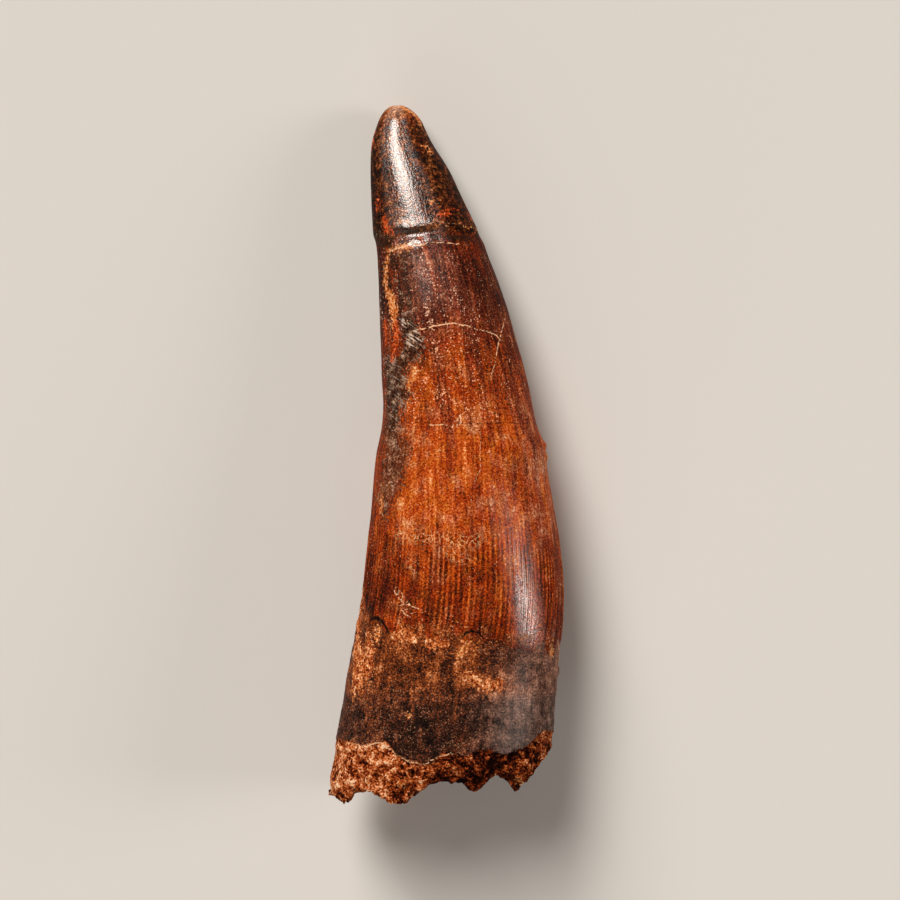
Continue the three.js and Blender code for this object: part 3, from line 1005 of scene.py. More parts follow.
@dataclass(frozen=True)
class Relief:
    """Heights that make the plain form a real tooth, in millimetres outwards.

    Attributes:
        swell, ripple: Slow unevenness of the whole skin.
        tip_calm, crown_calm: How much of the swell the tip loses, and of the ripple the crown.
        ridge_height: Of the fine lengthwise ridges of the crown.
        ring_width, ring_depth, lip_height: The groove round the upper crown and its lips.
        lips: Places of the two lips, in widths of the groove.
        mineral_skin, crust_skin: Their thickness on the skin, and how uneven it is.
        crown_step: How far the crown stands proud of the root.
        root_grain: Roughness of the root's skin.
        bone_step: How far the broken bone lies below the root's skin.
        bevel: How far the bone falls away at its rim, as (x, depth).
        bevel_share: How much of the way to the rim the bevel begins.
        pore, pore_depth: Size and depth of the large pores of the broken bone.
        small_pore: Size and strength of the small pores, as a share of the large ones.
        tatter: How ragged the broken rim is.
        shoulder_height, shoulder_width: Of the turn from the upper face to the right side.
        tip_swell: How far the right side of the tip bulges.
        tip_shift: How far the very tip leans, as (x, y).
        side_fade: How much of the groove and the pores is lost at the two side edges.
        clear_height: Relief fades out below this height, to keep the worn flat flat.
        mark_heights: Height of marks, as (mark, height, depth outside, depth inside).
    """

    swell: float = 0.12
    ripple: float = 0.04
    ridge_height: float = 0.06
    ring_width: float = 0.55
    ring_depth: float = 0.32
    lip_height: float = 0.14
    crown_step: float = 0.14
    bone_step: float = 0.35
    bevel: Places = (
        (-17.0, 0.4), (-8.0, 0.5), (-4.0, 0.9), (0.0, 1.7), (6.0, 1.7), (10.0, 1.1), (15.0, 0.9),
    )
    bevel_share: float = 0.6
    tip_calm: float = 0.75
    crown_calm: float = 0.5
    mineral_skin: tuple[float, float] = (0.08, 0.07)
    crust_skin: tuple[float, float] = (0.08, 0.13)
    lips: tuple[float, float] = (2.2, -2.6)
    root_grain: float = 0.08
    pore: float = 1.1
    pore_depth: float = 0.4
    small_pore: tuple[float, float] = (0.55, 0.35)
    tatter: float = 0.32
    shoulder_height: float = -0.3
    shoulder_width: float = 3.0
    tip_swell: float = 0.5
    tip_shift: tuple[float, float] = (0.3, 0.3)
    side_fade: float = 0.75
    clear_height: float = 0.35
    mark_heights: tuple[tuple[str, float, float, float], ...] = (
        ("dents", -0.55, -0.2, 0.9), ("chips", -0.2, -0.15, 0.2), ("beads", 0.35, -0.5, 0.45),
        ("big_ridge", 0.08, -0.3, 0.25), ("ledge", 0.28, -1.0, 0.5),
    )

    def heights(self, zones: ToothZones) -> tuple[np.ndarray, np.ndarray]:
        """Work out the height of every point.

        Args:
            zones: Where each zone and mark is.

        Returns:
            Heights, and how deep in a pore each point lies, from 0 to 1.
        """
        grid, at = zones.grid, zones.fields
        points, side = grid.points, np.cos(grid.angle)
        bone = soft_step(at["bone"], -0.15, 0.2)
        root = soft_step(at["root"], -0.6, 0.6) * (1 - bone)
        crown = (1 - root) * (1 - bone)
        polished = soft_step(points[..., 1], 28.0, 33.0)
        height = self.swell * Noise(6.5, 21).smooth(points, 2) * (1 - self.tip_calm * polished)
        height += self.ripple * Noise(1.9, 22).smooth(points, 2) * (1 - self.crown_calm * crown)
        height += self.ridge_height * at["flute"]
        edge = self.side_fade * soft_step(np.abs(side), 0.7, 0.97)
        height += self._ring(at["ring"], points) * (1 - edge)
        height -= self.crown_step * root
        height += self.root_grain * Noise(0.9, 23).smooth(points, 3) * root
        thick, uneven = self.mineral_skin
        mineral = soft_step(at["mineral"], -0.2, 0.3)
        height += mineral * (thick + uneven * Noise(0.7, 24).smooth(points, 2))
        thick, uneven = self.crust_skin
        crust = soft_step(at["crust"], -0.3, 0.3) * (1 - bone)
        height += crust * (thick + uneven * Noise(0.8, 25).smooth(points, 3))
        for name, rise, outside, inside in self.mark_heights:
            depth = grid.depth_in(getattr(zones.marks, name))
            height += rise * soft_step(depth, outside, inside)
        across = grid.depth_in(zones.marks.shoulder) / self.shoulder_width
        height += self.shoulder_height * np.exp(-(across**2))
        tip = soft_step(points[..., 1], 37.0, 43.0) * soft_step(points[..., 1], 50.0, 47.0)
        height += self.tip_swell * tip * soft_step(side, 0.1, 0.85)
        facing = soft_step(-grid.out[..., 1], 0.4, 0.9)
        porous, pore = self._bone(points, facing)
        corner = soft_step(np.abs(side), 0.72, 0.95) * soft_step(grid.rim_share, 0.4, 0.8)
        height += bone * (porous * (1 - self.side_fade * corner) - self.bone_step)
        clear = soft_step(points[..., 2], 0.0, self.clear_height)
        return height * np.where(bone > 0.5, 1.0, clear), pore * bone

    def _ring(self, ring: np.ndarray, points: np.ndarray) -> np.ndarray:
        """Give the groove round the upper crown, with a rough lip on each side.

        Args:
            ring: Distance from the groove, in millimetres.
            points: The points.

        Returns:
            Heights.
        """
        across = ring / self.ring_width
        rough = 1 + 0.8 * Noise(1.1, 33).smooth(points, 2)
        groove = -self.ring_depth * np.exp(-(across**2))
        lips = sum(np.exp(-((across - lip) ** 2)) for lip in self.lips)
        return groove + self.lip_height * rough * lips

    def _bone(self, points: np.ndarray, facing: np.ndarray) -> tuple[np.ndarray, np.ndarray]:
        """Give the spongy relief of the broken bone.

        Args:
            points: The points.
            facing: 1 on the face of the break, which is rougher, and 0 on the sides.

        Returns:
            Heights, and how deep in a pore each point is, from 0 to 1.
        """
        size, strength = self.small_pore
        patchy = soft_step(Noise(2.4, 44).smooth(points), 0.0, 0.5)
        patchy = np.maximum(patchy, 0.8 * facing)
        large = patchy * soft_step(Noise(self.pore, 41).pits(points), 0.6, 0.2)
        small = soft_step(Noise(size * self.pore, 42).pits(points), 0.45, 0.15)
        lumps = 0.3 * Noise(2.6, 43).smooth(points, 3) + 0.1 * Noise(0.6, 45).smooth(points, 2)
        lumps = np.minimum(lumps, 0.15) + 0.7 * facing * Noise(3.6, 47).smooth(points, 3)
        pores = large + strength * small
        return lumps - self.pore_depth * (1 + 0.8 * facing) * pores, np.clip(pores, 0, 1)

    def wear(self, grid: SkinGrid) -> np.ndarray:
        """Give how far wear shifts each point: the broken rim is ragged and bevelled.

        Args:
            grid: The points.

        Returns:
            Shifts in millimetres, shape (..., 3), with the lean of the very tip.
        """
        shift = np.zeros(grid.points.shape)
        ragged = Noise(0.8, 46).smooth(grid.points, 3)
        shift[..., 1] = self.tatter * ragged * soft_step(grid.rim_share, 0.75, 1.0)
        worn = soft_step(grid.rim_share, self.bevel_share, 1.0) ** 1.5
        upper = soft_step(np.sin(grid.angle), 0.0, 0.6)[None, :]
        shift[..., 2] = -smooth_at(self.bevel, grid.points[..., 0]) * worn * upper
        tip = soft_step(grid.points[..., 1], 44.0, 50.0)[..., None]
        shift[..., :2] += tip * np.array(self.tip_shift)
        return shift


# ---------------------------------------------------------------- finishes
#
# Real specks and grains are finer than the 0.2 to 0.4 mm given here. These are as fine as
# a render of the whole tooth can show.


@dataclass(frozen=True)
class Look:
    """What one finish hands to the shader: colour, roughness and height in millimetres."""

    colour: Socket
    roughness: Socket
    height: Socket


@dataclass(frozen=True)
class Canvas:
    """The node tree of the fossil, with what its finishes share.

    Attributes:
        tree: The material's node tree.
        solid: Place in space, in millimetres.
        grain: Place that follows the crown's growth, in millimetres.
        fields: The skin's fields by name.
    """

    tree: bpy.types.NodeTree
    solid: Socket
    grain: Socket
    fields: dict[str, Socket]

    def add(self, kind: str, inputs: Inputs, output: int | str = 0, **settings: Any) -> Socket:
        """Add one node to this tree."""
        return add_node(self.tree, kind, inputs, output, **settings)

    def total(self, base: Any, *terms: tuple[Socket, Any]) -> Socket:
        """Add up a base and any number of terms.

        Args:
            base: The number or socket to start from.
            *terms: A socket each, with its gain. A gain of 0 leaves its term out.

        Returns:
            The sum.
        """
        for socket, gain in terms:
            if gain != 0:
                base = self.add("Math", (socket, gain, base), operation="MULTIPLY_ADD")
        return base

    def mask(self, name: str, ragged: Socket, reach: float, soft: float) -> Socket:
        """Cut a zone's mask from its field, with a ragged edge.

        Args:
            name: The field.
            ragged: Noise around 0.
            reach: How far the edge wanders, in millimetres.
            soft: Half the width of its blend.

        Returns:
            A mask from 0 to 1.
        """
        edge = self.total(self.fields[name], (ragged, reach))
        return self.add("MapRange", (edge, -soft, soft), interpolation_type="SMOOTHSTEP")

    def coated(self, colour: Any, *coats: tuple[Any, Any]) -> Socket:
        """Lay any number of coats of colour over a colour.

        Args:
            colour: The colour below, as a socket or sRGB hex.
            *coats: The share of each coat, from 0 to 1, and its colour.

        Returns:
            The colour that shows.
        """
        for share, coat in coats:
            under, over = (linear(c) if isinstance(c, str) else c for c in (colour, coat))
            colour = self.add("Mix", {0: share, 6: under, 7: over}, 2, data_type="RGBA")
        return colour

    def lay(self, share: Socket, under: Look, over: Look) -> Look:
        """Lay one finish over another.

        Args:
            share: Mask of the one on top, from 0 to 1.
            under: The finish below.
            over: The finish on top.

        Returns:
            Both as one finish.
        """
        return Look(
            self.coated(under.colour, (share, over.colour)),
            self.add("Mix", {0: share, 2: under.roughness, 3: over.roughness}),
            self.add("Mix", {0: share, 2: under.height, 3: over.height}),
        )


@dataclass(frozen=True)
class Lumps:
    """A natural pattern of soft lumps or streaks, and what it does to a finish.

    Attributes:
        size: Width of one lump, in millimetres.
        detail: How many finer layers it has.
        stretch: How much longer the lumps are lengthwise than across.
        tone: What it adds to how light the colour is.
        rough: What it adds to the roughness.
        rise: What it adds to the height, in millimetres.
        grown: True where they follow the crown's growth, not just fill space.
        warp: How far the lumps are bent out of line.
    """

    size: float
    detail: float = 2.0
    stretch: float = 1.0
    tone: float = 0.0
    rough: float = 0.0
    rise: float = 0.0
    grown: bool = False
    warp: float = 0.0

    def on(self, canvas: Canvas, turned: Socket | None = None) -> Socket:
        """Draw the pattern.

        Args:
            canvas: The tree to draw it in.
            turned: Coordinates to draw it on, if not the canvas's own.

        Returns:
            Values from about -1 to 1, mostly within 0.3 of 0.
        """
        own = canvas.grain if self.grown else canvas.solid
        scale = (1 / self.size, 1 / self.size / self.stretch, 1 / self.size)
        where = canvas.add("VectorMath", (turned or own, scale), operation="MULTIPLY")
        inputs = {"Vector": where, "Scale": 1.0, "Detail": self.detail, "Roughness": 0.6}
        return canvas.add("TexNoise", {**inputs, "Distortion": self.warp}, "Fac", normalize=False)


class Texture:
    """Some patterns of one finish, drawn on the canvas."""

    def __init__(self, canvas: Canvas, *patterns: Lumps, turned: Socket | None = None) -> None:
        """Draw the patterns.

        Args:
            canvas: The tree to draw them in.
            *patterns: The patterns.
            turned: Coordinates to draw them on, if not the canvas's own.
        """
        self.canvas = canvas
        self.patterns = patterns
        self.drawn = [pattern.on(canvas, turned) for pattern in patterns]

    def _added(self, base: Any, gains: list[float]) -> Socket:
        """Add the patterns to a base, each by its gain."""
        return self.canvas.total(base, *zip(self.drawn, gains))

    def tone(self, base: Any = 0.0) -> Socket:
        """Add what the patterns do to the tone."""
        return self._added(base, [pattern.tone for pattern in self.patterns])

    def rough(self, base: Any) -> Socket:
        """Add what the patterns do to the roughness."""
        return self._added(base, [pattern.rough for pattern in self.patterns])

    def rise(self, base: Any = 0.0) -> Socket:
        """Add what the patterns do to the height."""
        return self._added(base, [pattern.rise for pattern in self.patterns])


@dataclass(frozen=True)
class Specks:
    """A scatter of small specks of uneven size.

    Attributes:
        spacing: From one speck to the next where they lie thickest, in millimetres.
        cover: How much of its colour a speck shows.
        reach: Radius of the largest, as a share of the spacing.
        soft: Width of their soft edge, as a share of the spacing.
    """

    spacing: float
    cover: float
    reach: float = 0.9
    soft: float = 0.25

    def on(self, canvas: Canvas, thickness: Socket) -> Socket:
        """Scatter the specks.

        Args:
            canvas: The tree to draw them in.
            thickness: Share of the places that hold a speck, from 0 to 1.

        Returns:
            How much of their colour shows, and 0 between them.
        """
        inputs = {"Vector": canvas.solid, "Scale": 1 / self.spacing}
        away = canvas.add("TexVoronoi", inputs, "Distance")
        chance = canvas.add("SeparateColor", (away.node.outputs["Color"],), "Red")
        left = canvas.total(-1.0, (chance, 1.0), (thickness, 1.0))
        depth = canvas.total(0.0, (left, self.reach), (away, -1.0))
        return canvas.add("MapRange", (depth, 0.0, self.soft, 0.0, self.cover))


@dataclass(frozen=True)
class PolishedEnamel:
    """Fossil enamel of the crown, polished by burial and handling.

    It gives the eye a glossy orange-brown skin with lengthwise bands and fine ridges, tiny
    pale specks that are partly pale grit and partly painted glints, and a broken, silky highlight.
    """

    rust: Stops = (
        (0.0, "#160401"), (0.15, "#360d02"), (0.3, "#5e1b03"), (0.45, "#8a2b05"),
        (0.6, "#b2440b"), (0.75, "#cc601e"), (0.9, "#e88848"), (1.0, "#fab488"),
    )
    amber: Stops = (
        (0.0, "#140602"), (0.15, "#341204"), (0.3, "#5a2408"), (0.45, "#86390a"),
        (0.6, "#b2500e"), (0.75, "#d07022"), (0.9, "#ec9a58"), (1.0, "#fcc898"),
    )
    plum: Stops = (
        (0.0, "#0f0402"), (0.2, "#381309"), (0.35, "#562616"), (0.5, "#763c2a"),
        (0.7, "#a87260"), (1.0, "#ecc8b8"),
    )
    umber: Stops = (
        (0.0, "#0e0401"), (0.15, "#2e1204"), (0.3, "#50260e"), (0.45, "#7c441e"),
        (0.65, "#b87240"), (1.0, "#fcd8b0"),
    )
    # The specks are partly pale grit and partly painted glints.
    speck: str = "#fcb88c"
    pale_speck: str = "#f2d0b8"
    worm: str = "#f2bc84"
    band: Lumps = Lumps(1.3, 3, 9, tone=0.16, grown=True)
    streak: Lumps = Lumps(0.5, 3, 12, tone=0.14, rise=0.03, grown=True)
    fleck: Lumps = Lumps(0.8, 3, tone=0.34)
    mottle: Lumps = Lumps(2.6, 4, tone=0.12, rough=0.08)
    grit: Lumps = Lumps(0.26, tone=0.32, rough=0.1, rise=0.042)
    wrinkle: Lumps = Lumps(1.0, 2, 0.4, rise=0.008)
    warmth: Lumps = Lumps(1.1, 4, 1.8, grown=True)
    patch: Lumps = Lumps(1.4, 3, 2.2)
    wriggle: Lumps = Lumps(0.9)
    specks: Specks = Specks(0.24, 0.9)
    ridge_tone: float = 0.12
    ridge_rise: float = 0.03
    amber_share: float = 0.3
    dull: float = 0.55
    polished: float = 0.3
    unpolished_rise: float = 1.3

    def look(self, canvas: Canvas) -> Look:
        """Build the finish.

        Args:
            canvas: The tree to build it in.

        Returns:
            Its sockets.
        """
        flute, gloss = canvas.fields["flute"], canvas.fields["gloss"]
        grown = Texture(canvas, self.band, self.streak)
        mixed = Texture(canvas, self.mottle, self.grit)
        worn = Texture(canvas, self.fleck)
        (band, streak), mottle = grown.drawn, mixed.drawn[0]
        tip = canvas.add("MapRange", (canvas.fields["ring"], -0.4, 0.3))
        tone = canvas.add("Mix", {0: tip, 2: grown.tone(), 3: worn.tone()})
        tone = canvas.total(canvas.fields["tone"], (tone, 1.0), (flute, self.ridge_tone))
        colour = self._stain(canvas, mixed.tone(tone), tip, band, mottle)
        colour = self._marks(canvas, colour, streak, tip)
        rough = canvas.add("MapRange", (gloss, 0.0, 1.0, self.dull, self.polished))
        matt = canvas.total(self.unpolished_rise, (gloss, -1.0))
        height = canvas.add("Math", (mixed.rise(grown.rise()), matt), operation="MULTIPLY")
        height = Texture(canvas, self.wrinkle).rise(height)
        return Look(colour, mixed.rough(rough), canvas.total(height, (flute, self.ridge_rise)))

    def _stain(
        self, canvas: Canvas, tone: Socket, tip: Socket, band: Socket, mottle: Socket
    ) -> Socket:
        """Turn the tone into colour: rust with amber, plum where the field is, umber on the tip.

        Args:
            canvas: The tree to build it in.
            tone: How light the stain is.
            tip: Mask of the tip.
            band, mottle: Patterns that break up the change from one stain to the next.

        Returns:
            The colour.
        """
        stains = (self.rust, self.amber, self.plum, self.umber)
        rust, *others = (canvas.add("ValToRGB", (tone,), stops=stops) for stops in stains)
        amber = canvas.total(self.amber_share, (self.warmth.on(canvas), 1.0))
        plum = canvas.total(0.0, (canvas.fields["plum"], 1.0), (band, -0.5), (mottle, 0.3))
        umber = canvas.total(-0.1, (tip, 0.95), (mottle, 0.6))
        return canvas.coated(rust, *zip((amber, plum, umber), others))

    def _marks(self, canvas: Canvas, colour: Socket, streak: Socket, tip: Socket) -> Socket:
        """Lay the fine specks, partly pale grit and partly painted glints, and the pale wriggles over
        the stain.

        Args:
            canvas: The tree to build it in.
            colour: The colour of the stain.
            streak: Pattern that the specks follow in part.
            tip: Mask of the tip, where the specks are paler.

        Returns:
            The colour with them.
        """
        patch = canvas.total(canvas.fields["speck"], (self.patch.on(canvas), 0.28), (streak, 0.2))
        pale = canvas.add("Math", (canvas.fields["plum"], tip), operation="MAXIMUM")
        tint = canvas.coated(self.speck, (pale, self.pale_speck))
        wriggle = canvas.add("Math", (self.wriggle.on(canvas),), operation="ABSOLUTE")
        wriggle = canvas.add("MapRange", (wriggle, 0.12, 0.04))
        wriggle = canvas.add("Math", (wriggle, canvas.fields["worm"]), operation="MULTIPLY")
        return canvas.coated(colour, (self.specks.on(canvas, patch), tint), (wriggle, self.worm))


@dataclass(frozen=True)
class StainedRoot:
    """Root dentine, stained by iron and manganese in the ground.

    It gives the eye a dull dark brown skin with a satin sheen, orange worn places, a
    grey-brown right side and fine pale grit.
    """

    stain: Stops = (
        (0.0, "#0d0402"), (0.16, "#2b1208"), (0.3, "#47200e"), (0.42, "#622b10"),
        (0.54, "#823e16"), (0.68, "#a85a2a"), (0.84, "#d48c58"), (1.0, "#f2c298"),
    )
    grey: Stops = (
        (0.0, "#221611"), (0.2, "#4d382f"), (0.4, "#70574c"), (0.6, "#8e7064"),
        (0.8, "#b49282"), (1.0, "#d8beae"),
    )
    speck: str = "#c4906e"
    roughness: float = 0.5
    satin: float = -0.1
    grey_lift: float = 0.22
    grey_share: float = 1.05
    cloud: Lumps = Lumps(1.5, 4, tone=0.22, rough=0.1, rise=0.03)
    grit: Lumps = Lumps(0.26, tone=0.4, rise=0.06)
    streak: Lumps = Lumps(0.6, 3, 8, tone=0.16, grown=True)
    patch: Lumps = Lumps(1.6)
    specks: Specks = Specks(0.2, 0.55)

    def look(self, canvas: Canvas) -> Look:
        """Build the finish.

        Args:
            canvas: The tree to build it in.

        Returns:
            Its sockets.
        """
        fields = canvas.fields
        skin = Texture(canvas, self.cloud, self.grit, self.streak)
        cloud = skin.drawn[0]
        tone = skin.tone(fields["tone"])
        brown = canvas.add("ValToRGB", (tone,), stops=self.stain)
        grey = canvas.add("ValToRGB", (canvas.total(self.grey_lift, (tone, 0.95)),), stops=self.grey)
        share = canvas.total(self.grey_share, (cloud, 0.7))
        share = canvas.add("Math", (share, fields["plum"]), operation="MULTIPLY")
        thickness = canvas.total(fields["speck"], (self.patch.on(canvas), 0.25), (cloud, 0.2))
        speck = self.specks.on(canvas, thickness)
        colour = canvas.coated(brown, (share, grey), (speck, self.speck))
        rough = canvas.total(skin.rough(self.roughness), (fields["gloss"], self.satin))
        return Look(colour, rough, skin.rise())


@dataclass(frozen=True)
class PorousBone:
    """Spongy broken bone of the root, with sandy dirt in its pores.

    It gives the eye a rough, matt, bright orange crumb with dark pits and pale crests.
    """

    crumbs: Stops = (
        (0.0, "#140300"), (0.16, "#340f04"), (0.32, "#60220a"), (0.48, "#943e14"),
        (0.64, "#be622e"), (0.8, "#e4925a"), (1.0, "#ffd8b2"),
    )
    roughness: float = 0.8
    pore_tone: float = -0.4
    lobe: Lumps = Lumps(2.4, 3, tone=0.3)
    crumb: Lumps = Lumps(1.0, 4, tone=0.4, rise=0.16, warp=0.4)
    grains: Lumps = Lumps(0.3, tone=0.42, rough=0.1, rise=0.11)

    def look(self, canvas: Canvas) -> Look:
        """Build the finish.

        Args:
            canvas: The tree to build it in.

        Returns:
            Its sockets.
        """
        sponge = Texture(canvas, self.lobe, self.crumb, self.grains)
        tone = canvas.total(canvas.fields["tone"], (canvas.fields["pore"], self.pore_tone))
        tone = sponge.tone(tone)
        colour = canvas.add("ValToRGB", (tone,), stops=self.crumbs)
        return Look(colour, sponge.rough(self.roughness), sponge.rise())


@dataclass(frozen=True)
class GreyMineral:
    """Thin skin of dark manganese mineral left by ground water.

    It gives the eye dark brown-grey patches with short slanting pale scratches and painted glints.
    """

    body: Stops = ((0.0, "#140a05"), (0.35, "#362013"), (0.65, "#6a482f"), (1.0, "#ac8a70"))
    scratch_and_painted_glint: str = "#f0dccb"
    roughness: float = 0.4
    slant_degrees: float = -36.0
    fleck: str = "#e0bea4"
    body_tone: float = 0.34
    film_reach: float = 2.2
    film_tone: float = 0.17
    fleck_share: float = 0.46
    brushed: Lumps = Lumps(2.4, 2, 0.08, rise=0.07, warp=0.6)
    grit: Lumps = Lumps(0.36, tone=0.65, rough=0.15, rise=0.05)
    cloud: Lumps = Lumps(1.4, tone=0.4)
    flecks: Specks = Specks(0.26, 0.6)

    def look(self, canvas: Canvas) -> Look:
        """Build the finish.

        Args:
            canvas: The tree to build it in.

        Returns:
            Its sockets.
        """
        angle = -math.radians(self.slant_degrees)
        slant = canvas.add("VectorRotate", {"Vector": canvas.solid, "Angle": angle})
        strokes = Texture(canvas, self.brushed, turned=slant)
        skin = Texture(canvas, self.grit, self.cloud)
        brushed, cloud = strokes.drawn[0], skin.drawn[1]
        film = (canvas.fields["film"], 0.0, self.film_reach, 0.0, self.film_tone)
        thin = canvas.add("MapRange", film)
        tone = skin.tone(canvas.total(self.body_tone, (thin, 1.0)))
        body = canvas.add("ValToRGB", (tone,), stops=self.body)
        # Short slanting streaks, partly pale scratches and partly painted glints.
        scratch_and_painted_glint = canvas.add("MapRange", (canvas.total(brushed, (cloud, 0.6)), 0.2, 0.5))
        share = canvas.total(-1.55, (canvas.fields["speck"], 3.1))
        scratch_and_painted_glint = canvas.add("Math", (scratch_and_painted_glint, share), operation="MULTIPLY")
        fleck = self.flecks.on(canvas, canvas.total(self.fleck_share, (thin, 1.2), (cloud, 0.6)))
        colour = canvas.coated(body, (scratch_and_painted_glint, self.scratch_and_painted_glint), (fleck, self.fleck))
        return Look(colour, skin.rough(self.roughness), skin.rise(strokes.rise()))


@dataclass(frozen=True)
class SandyCrust:
    """Orange sandstone left stuck to the root.

    It gives the eye matt orange grains with pale and dark ones among them.
    """

    grains: Stops = (
        (0.0, "#260903"), (0.2, "#5e1e06"), (0.42, "#98431a"), (0.62, "#c87038"),
        (0.82, "#eea36c"), (1.0, "#ffdcb4"),
    )
    roughness: float = 0.7
    body_tone: float = 0.55
    lump: Lumps = Lumps(0.9, 3, tone=0.3, rise=0.08)
    grain: Lumps = Lumps(0.32, tone=0.5, rough=0.1, rise=0.08)

    def look(self, canvas: Canvas) -> Look:
        """Build the finish.

        Args:
            canvas: The tree to build it in.

        Returns:
            Its sockets.
        """
        sand = Texture(canvas, self.lump, self.grain)
        colour = canvas.add("ValToRGB", (sand.tone(self.body_tone),), stops=self.grains)
        return Look(colour, sand.rough(self.roughness), sand.rise())


@dataclass(frozen=True)
class FossilMaterial:
    """All the finishes of the tooth, laid over each other by its zones.

    Attributes:
        enamel, root, bone, mineral, sand: The finishes.
        edges: How each zone ends, as (name, wander of its edge, half width of its blend).
        thick_cover, thin_cover: How much of the skin the mineral hides, thick and thin.
        tan, red, black: Colours of the small worn patches and dark spots.
        patch_tone, patch_cover: Middle tone of a patch, and how much of the skin it hides.
        pale_line, dark_line: Colours of the fine cracks, and of the painted highlight and shadow.
        line_width, line_wander, line_depth: Half width of a fine crack, how far it strays from
            its course, and its depth.
        ragged, tatter: Patterns of the zones' edges, fine and coarse.
        mottle, broken: Patterns of the patches and the cracks.
        coat_roughness, coat_ior: Of the natural polish on the crown and on part of the root.
        enamel_ior, specular_level: Of the worn skin below it, which scatters most of its shine.
    """

    enamel: PolishedEnamel = PolishedEnamel()
    root: StainedRoot = StainedRoot()
    bone: PorousBone = PorousBone()
    mineral: GreyMineral = GreyMineral()
    sand: SandyCrust = SandyCrust()
    edges: Effects = (
        ("root", 3.0, 0.9), ("bone", 0.35, 0.08), ("mineral", 1.9, 0.6), ("film", 2.4, 0.9),
        ("crust", 0.9, 0.15), ("tan", 0.8, 0.25), ("red", 0.8, 0.25), ("black", 0.8, 0.25),
    )
    thick_cover: float = 0.9
    thin_cover: float = 0.74
    tan: Stops = ((0.0, "#6c2404"), (0.35, "#b4561a"), (0.65, "#e48c48"), (1.0, "#ffd8a8"))
    red: Stops = ((0.0, "#4a1003"), (0.45, "#a8360a"), (0.8, "#e06024"), (1.0, "#f8a670"))
    black: Stops = ((0.0, "#0a0401"), (0.5, "#1e0c04"), (1.0, "#4a2c16"))
    patch_tone: float = 0.58
    patch_cover: float = 0.92
    pale_line: str = "#f8c498"
    dark_line: str = "#140602"
    line_width: float = 0.09
    line_wander: float = 0.11
    line_depth: float = 0.05
    ragged: Lumps = Lumps(0.4, 3)
    tatter: Lumps = Lumps(1.5, 4)
    mottle: Lumps = Lumps(0.34, tone=0.55)
    broken: Lumps = Lumps(0.5)
    coat_roughness: float = 0.16
    coat_ior: float = 2.0
    enamel_ior: float = 1.62
    specular_level: float = 0.03

    def make(self, names: tuple[str, ...]) -> bpy.types.Material:
        """Build the material.

        Args:
            names: The skin's fields.

        Returns:
            The material, named for the fossil.
        """
        material = bpy.data.materials.new("fossil_enamel_dentine_and_bone")
        material.use_nodes = True
        tree = material.node_tree
        tree.nodes.clear()
        place = add_node(tree, "TexCoord", output="Object")
        to_mm = {0: place, "Scale": 1 / MM}
        solid = add_node(tree, "VectorMath", to_mm, operation="SCALE")
        grain = add_node(tree, "Attribute", output="Vector", attribute_name="grain")
        fields = {}
        for name in names:
            fields[name] = add_node(tree, "Attribute", output="Fac", attribute_name=name)
        canvas = Canvas(tree, solid, grain, fields)
        ragged, tatter = self.ragged.on(canvas), self.tatter.on(canvas)
        zones = {}
        for name, reach, soft in self.edges:
            zones[name] = canvas.mask(name, tatter if name == "root" else ragged, reach, soft)
        thick = canvas.total(0.0, (zones["mineral"], self.thick_cover))
        thin = canvas.total(0.0, (zones["film"], self.thin_cover))
        mineral = canvas.add("Math", (thick, thin), operation="MAXIMUM")
        look = self.enamel.look(canvas)
        for share, finish in (
            (zones["root"], self.root),
            (zones["crust"], self.sand),
            (mineral, self.mineral),
            (zones["bone"], self.bone),
        ):
            look = canvas.lay(share, look, finish.look(canvas))
        colour, crack = self._lines(canvas, self._patches(canvas, look.colour, zones), ragged)
        height = canvas.total(look.height, (crack, -self.line_depth))
        normal = add_node(tree, "Bump", {"Strength": 1.0, "Distance": MM, "Height": height})
        bare = canvas.total(1.0, (zones["bone"], -1.0), (mineral, -1.0), (zones["crust"], -1.0))
        bare = canvas.add("Math", (bare, 0.0), operation="MAXIMUM")
        coat = canvas.add("Math", (bare, fields["gloss"]), operation="MULTIPLY")
        inputs = {
            "Base Color": colour,
            "Roughness": look.roughness,
            "IOR": self.enamel_ior,
            "Specular IOR Level": self.specular_level,
            "Normal": normal,
            "Coat Weight": coat,
            "Coat Roughness": self.coat_roughness,
            "Coat IOR": self.coat_ior,
            "Coat Normal": normal,
        }
        add_node(tree, "OutputMaterial", (add_node(tree, "BsdfPrincipled", inputs),))
        return material

    def _patches(self, canvas: Canvas, colour: Socket, zones: dict[str, Socket]) -> Socket:
        """Lay the small worn patches and dark spots over the colour.

        Args:
            canvas: The tree to build it in.
            colour: The colour so far.
            zones: The masks of the patches, by name.

        Returns:
            The colour with them.
        """
        tone = Texture(canvas, self.mottle).tone(self.patch_tone)
        for name, stops in (("tan", self.tan), ("red", self.red), ("black", self.black)):
            share = canvas.total(0.0, (zones[name], self.patch_cover))
            patch = canvas.add("ValToRGB", (tone,), stops=stops)
            colour = canvas.coated(colour, (share, patch))
        return colour

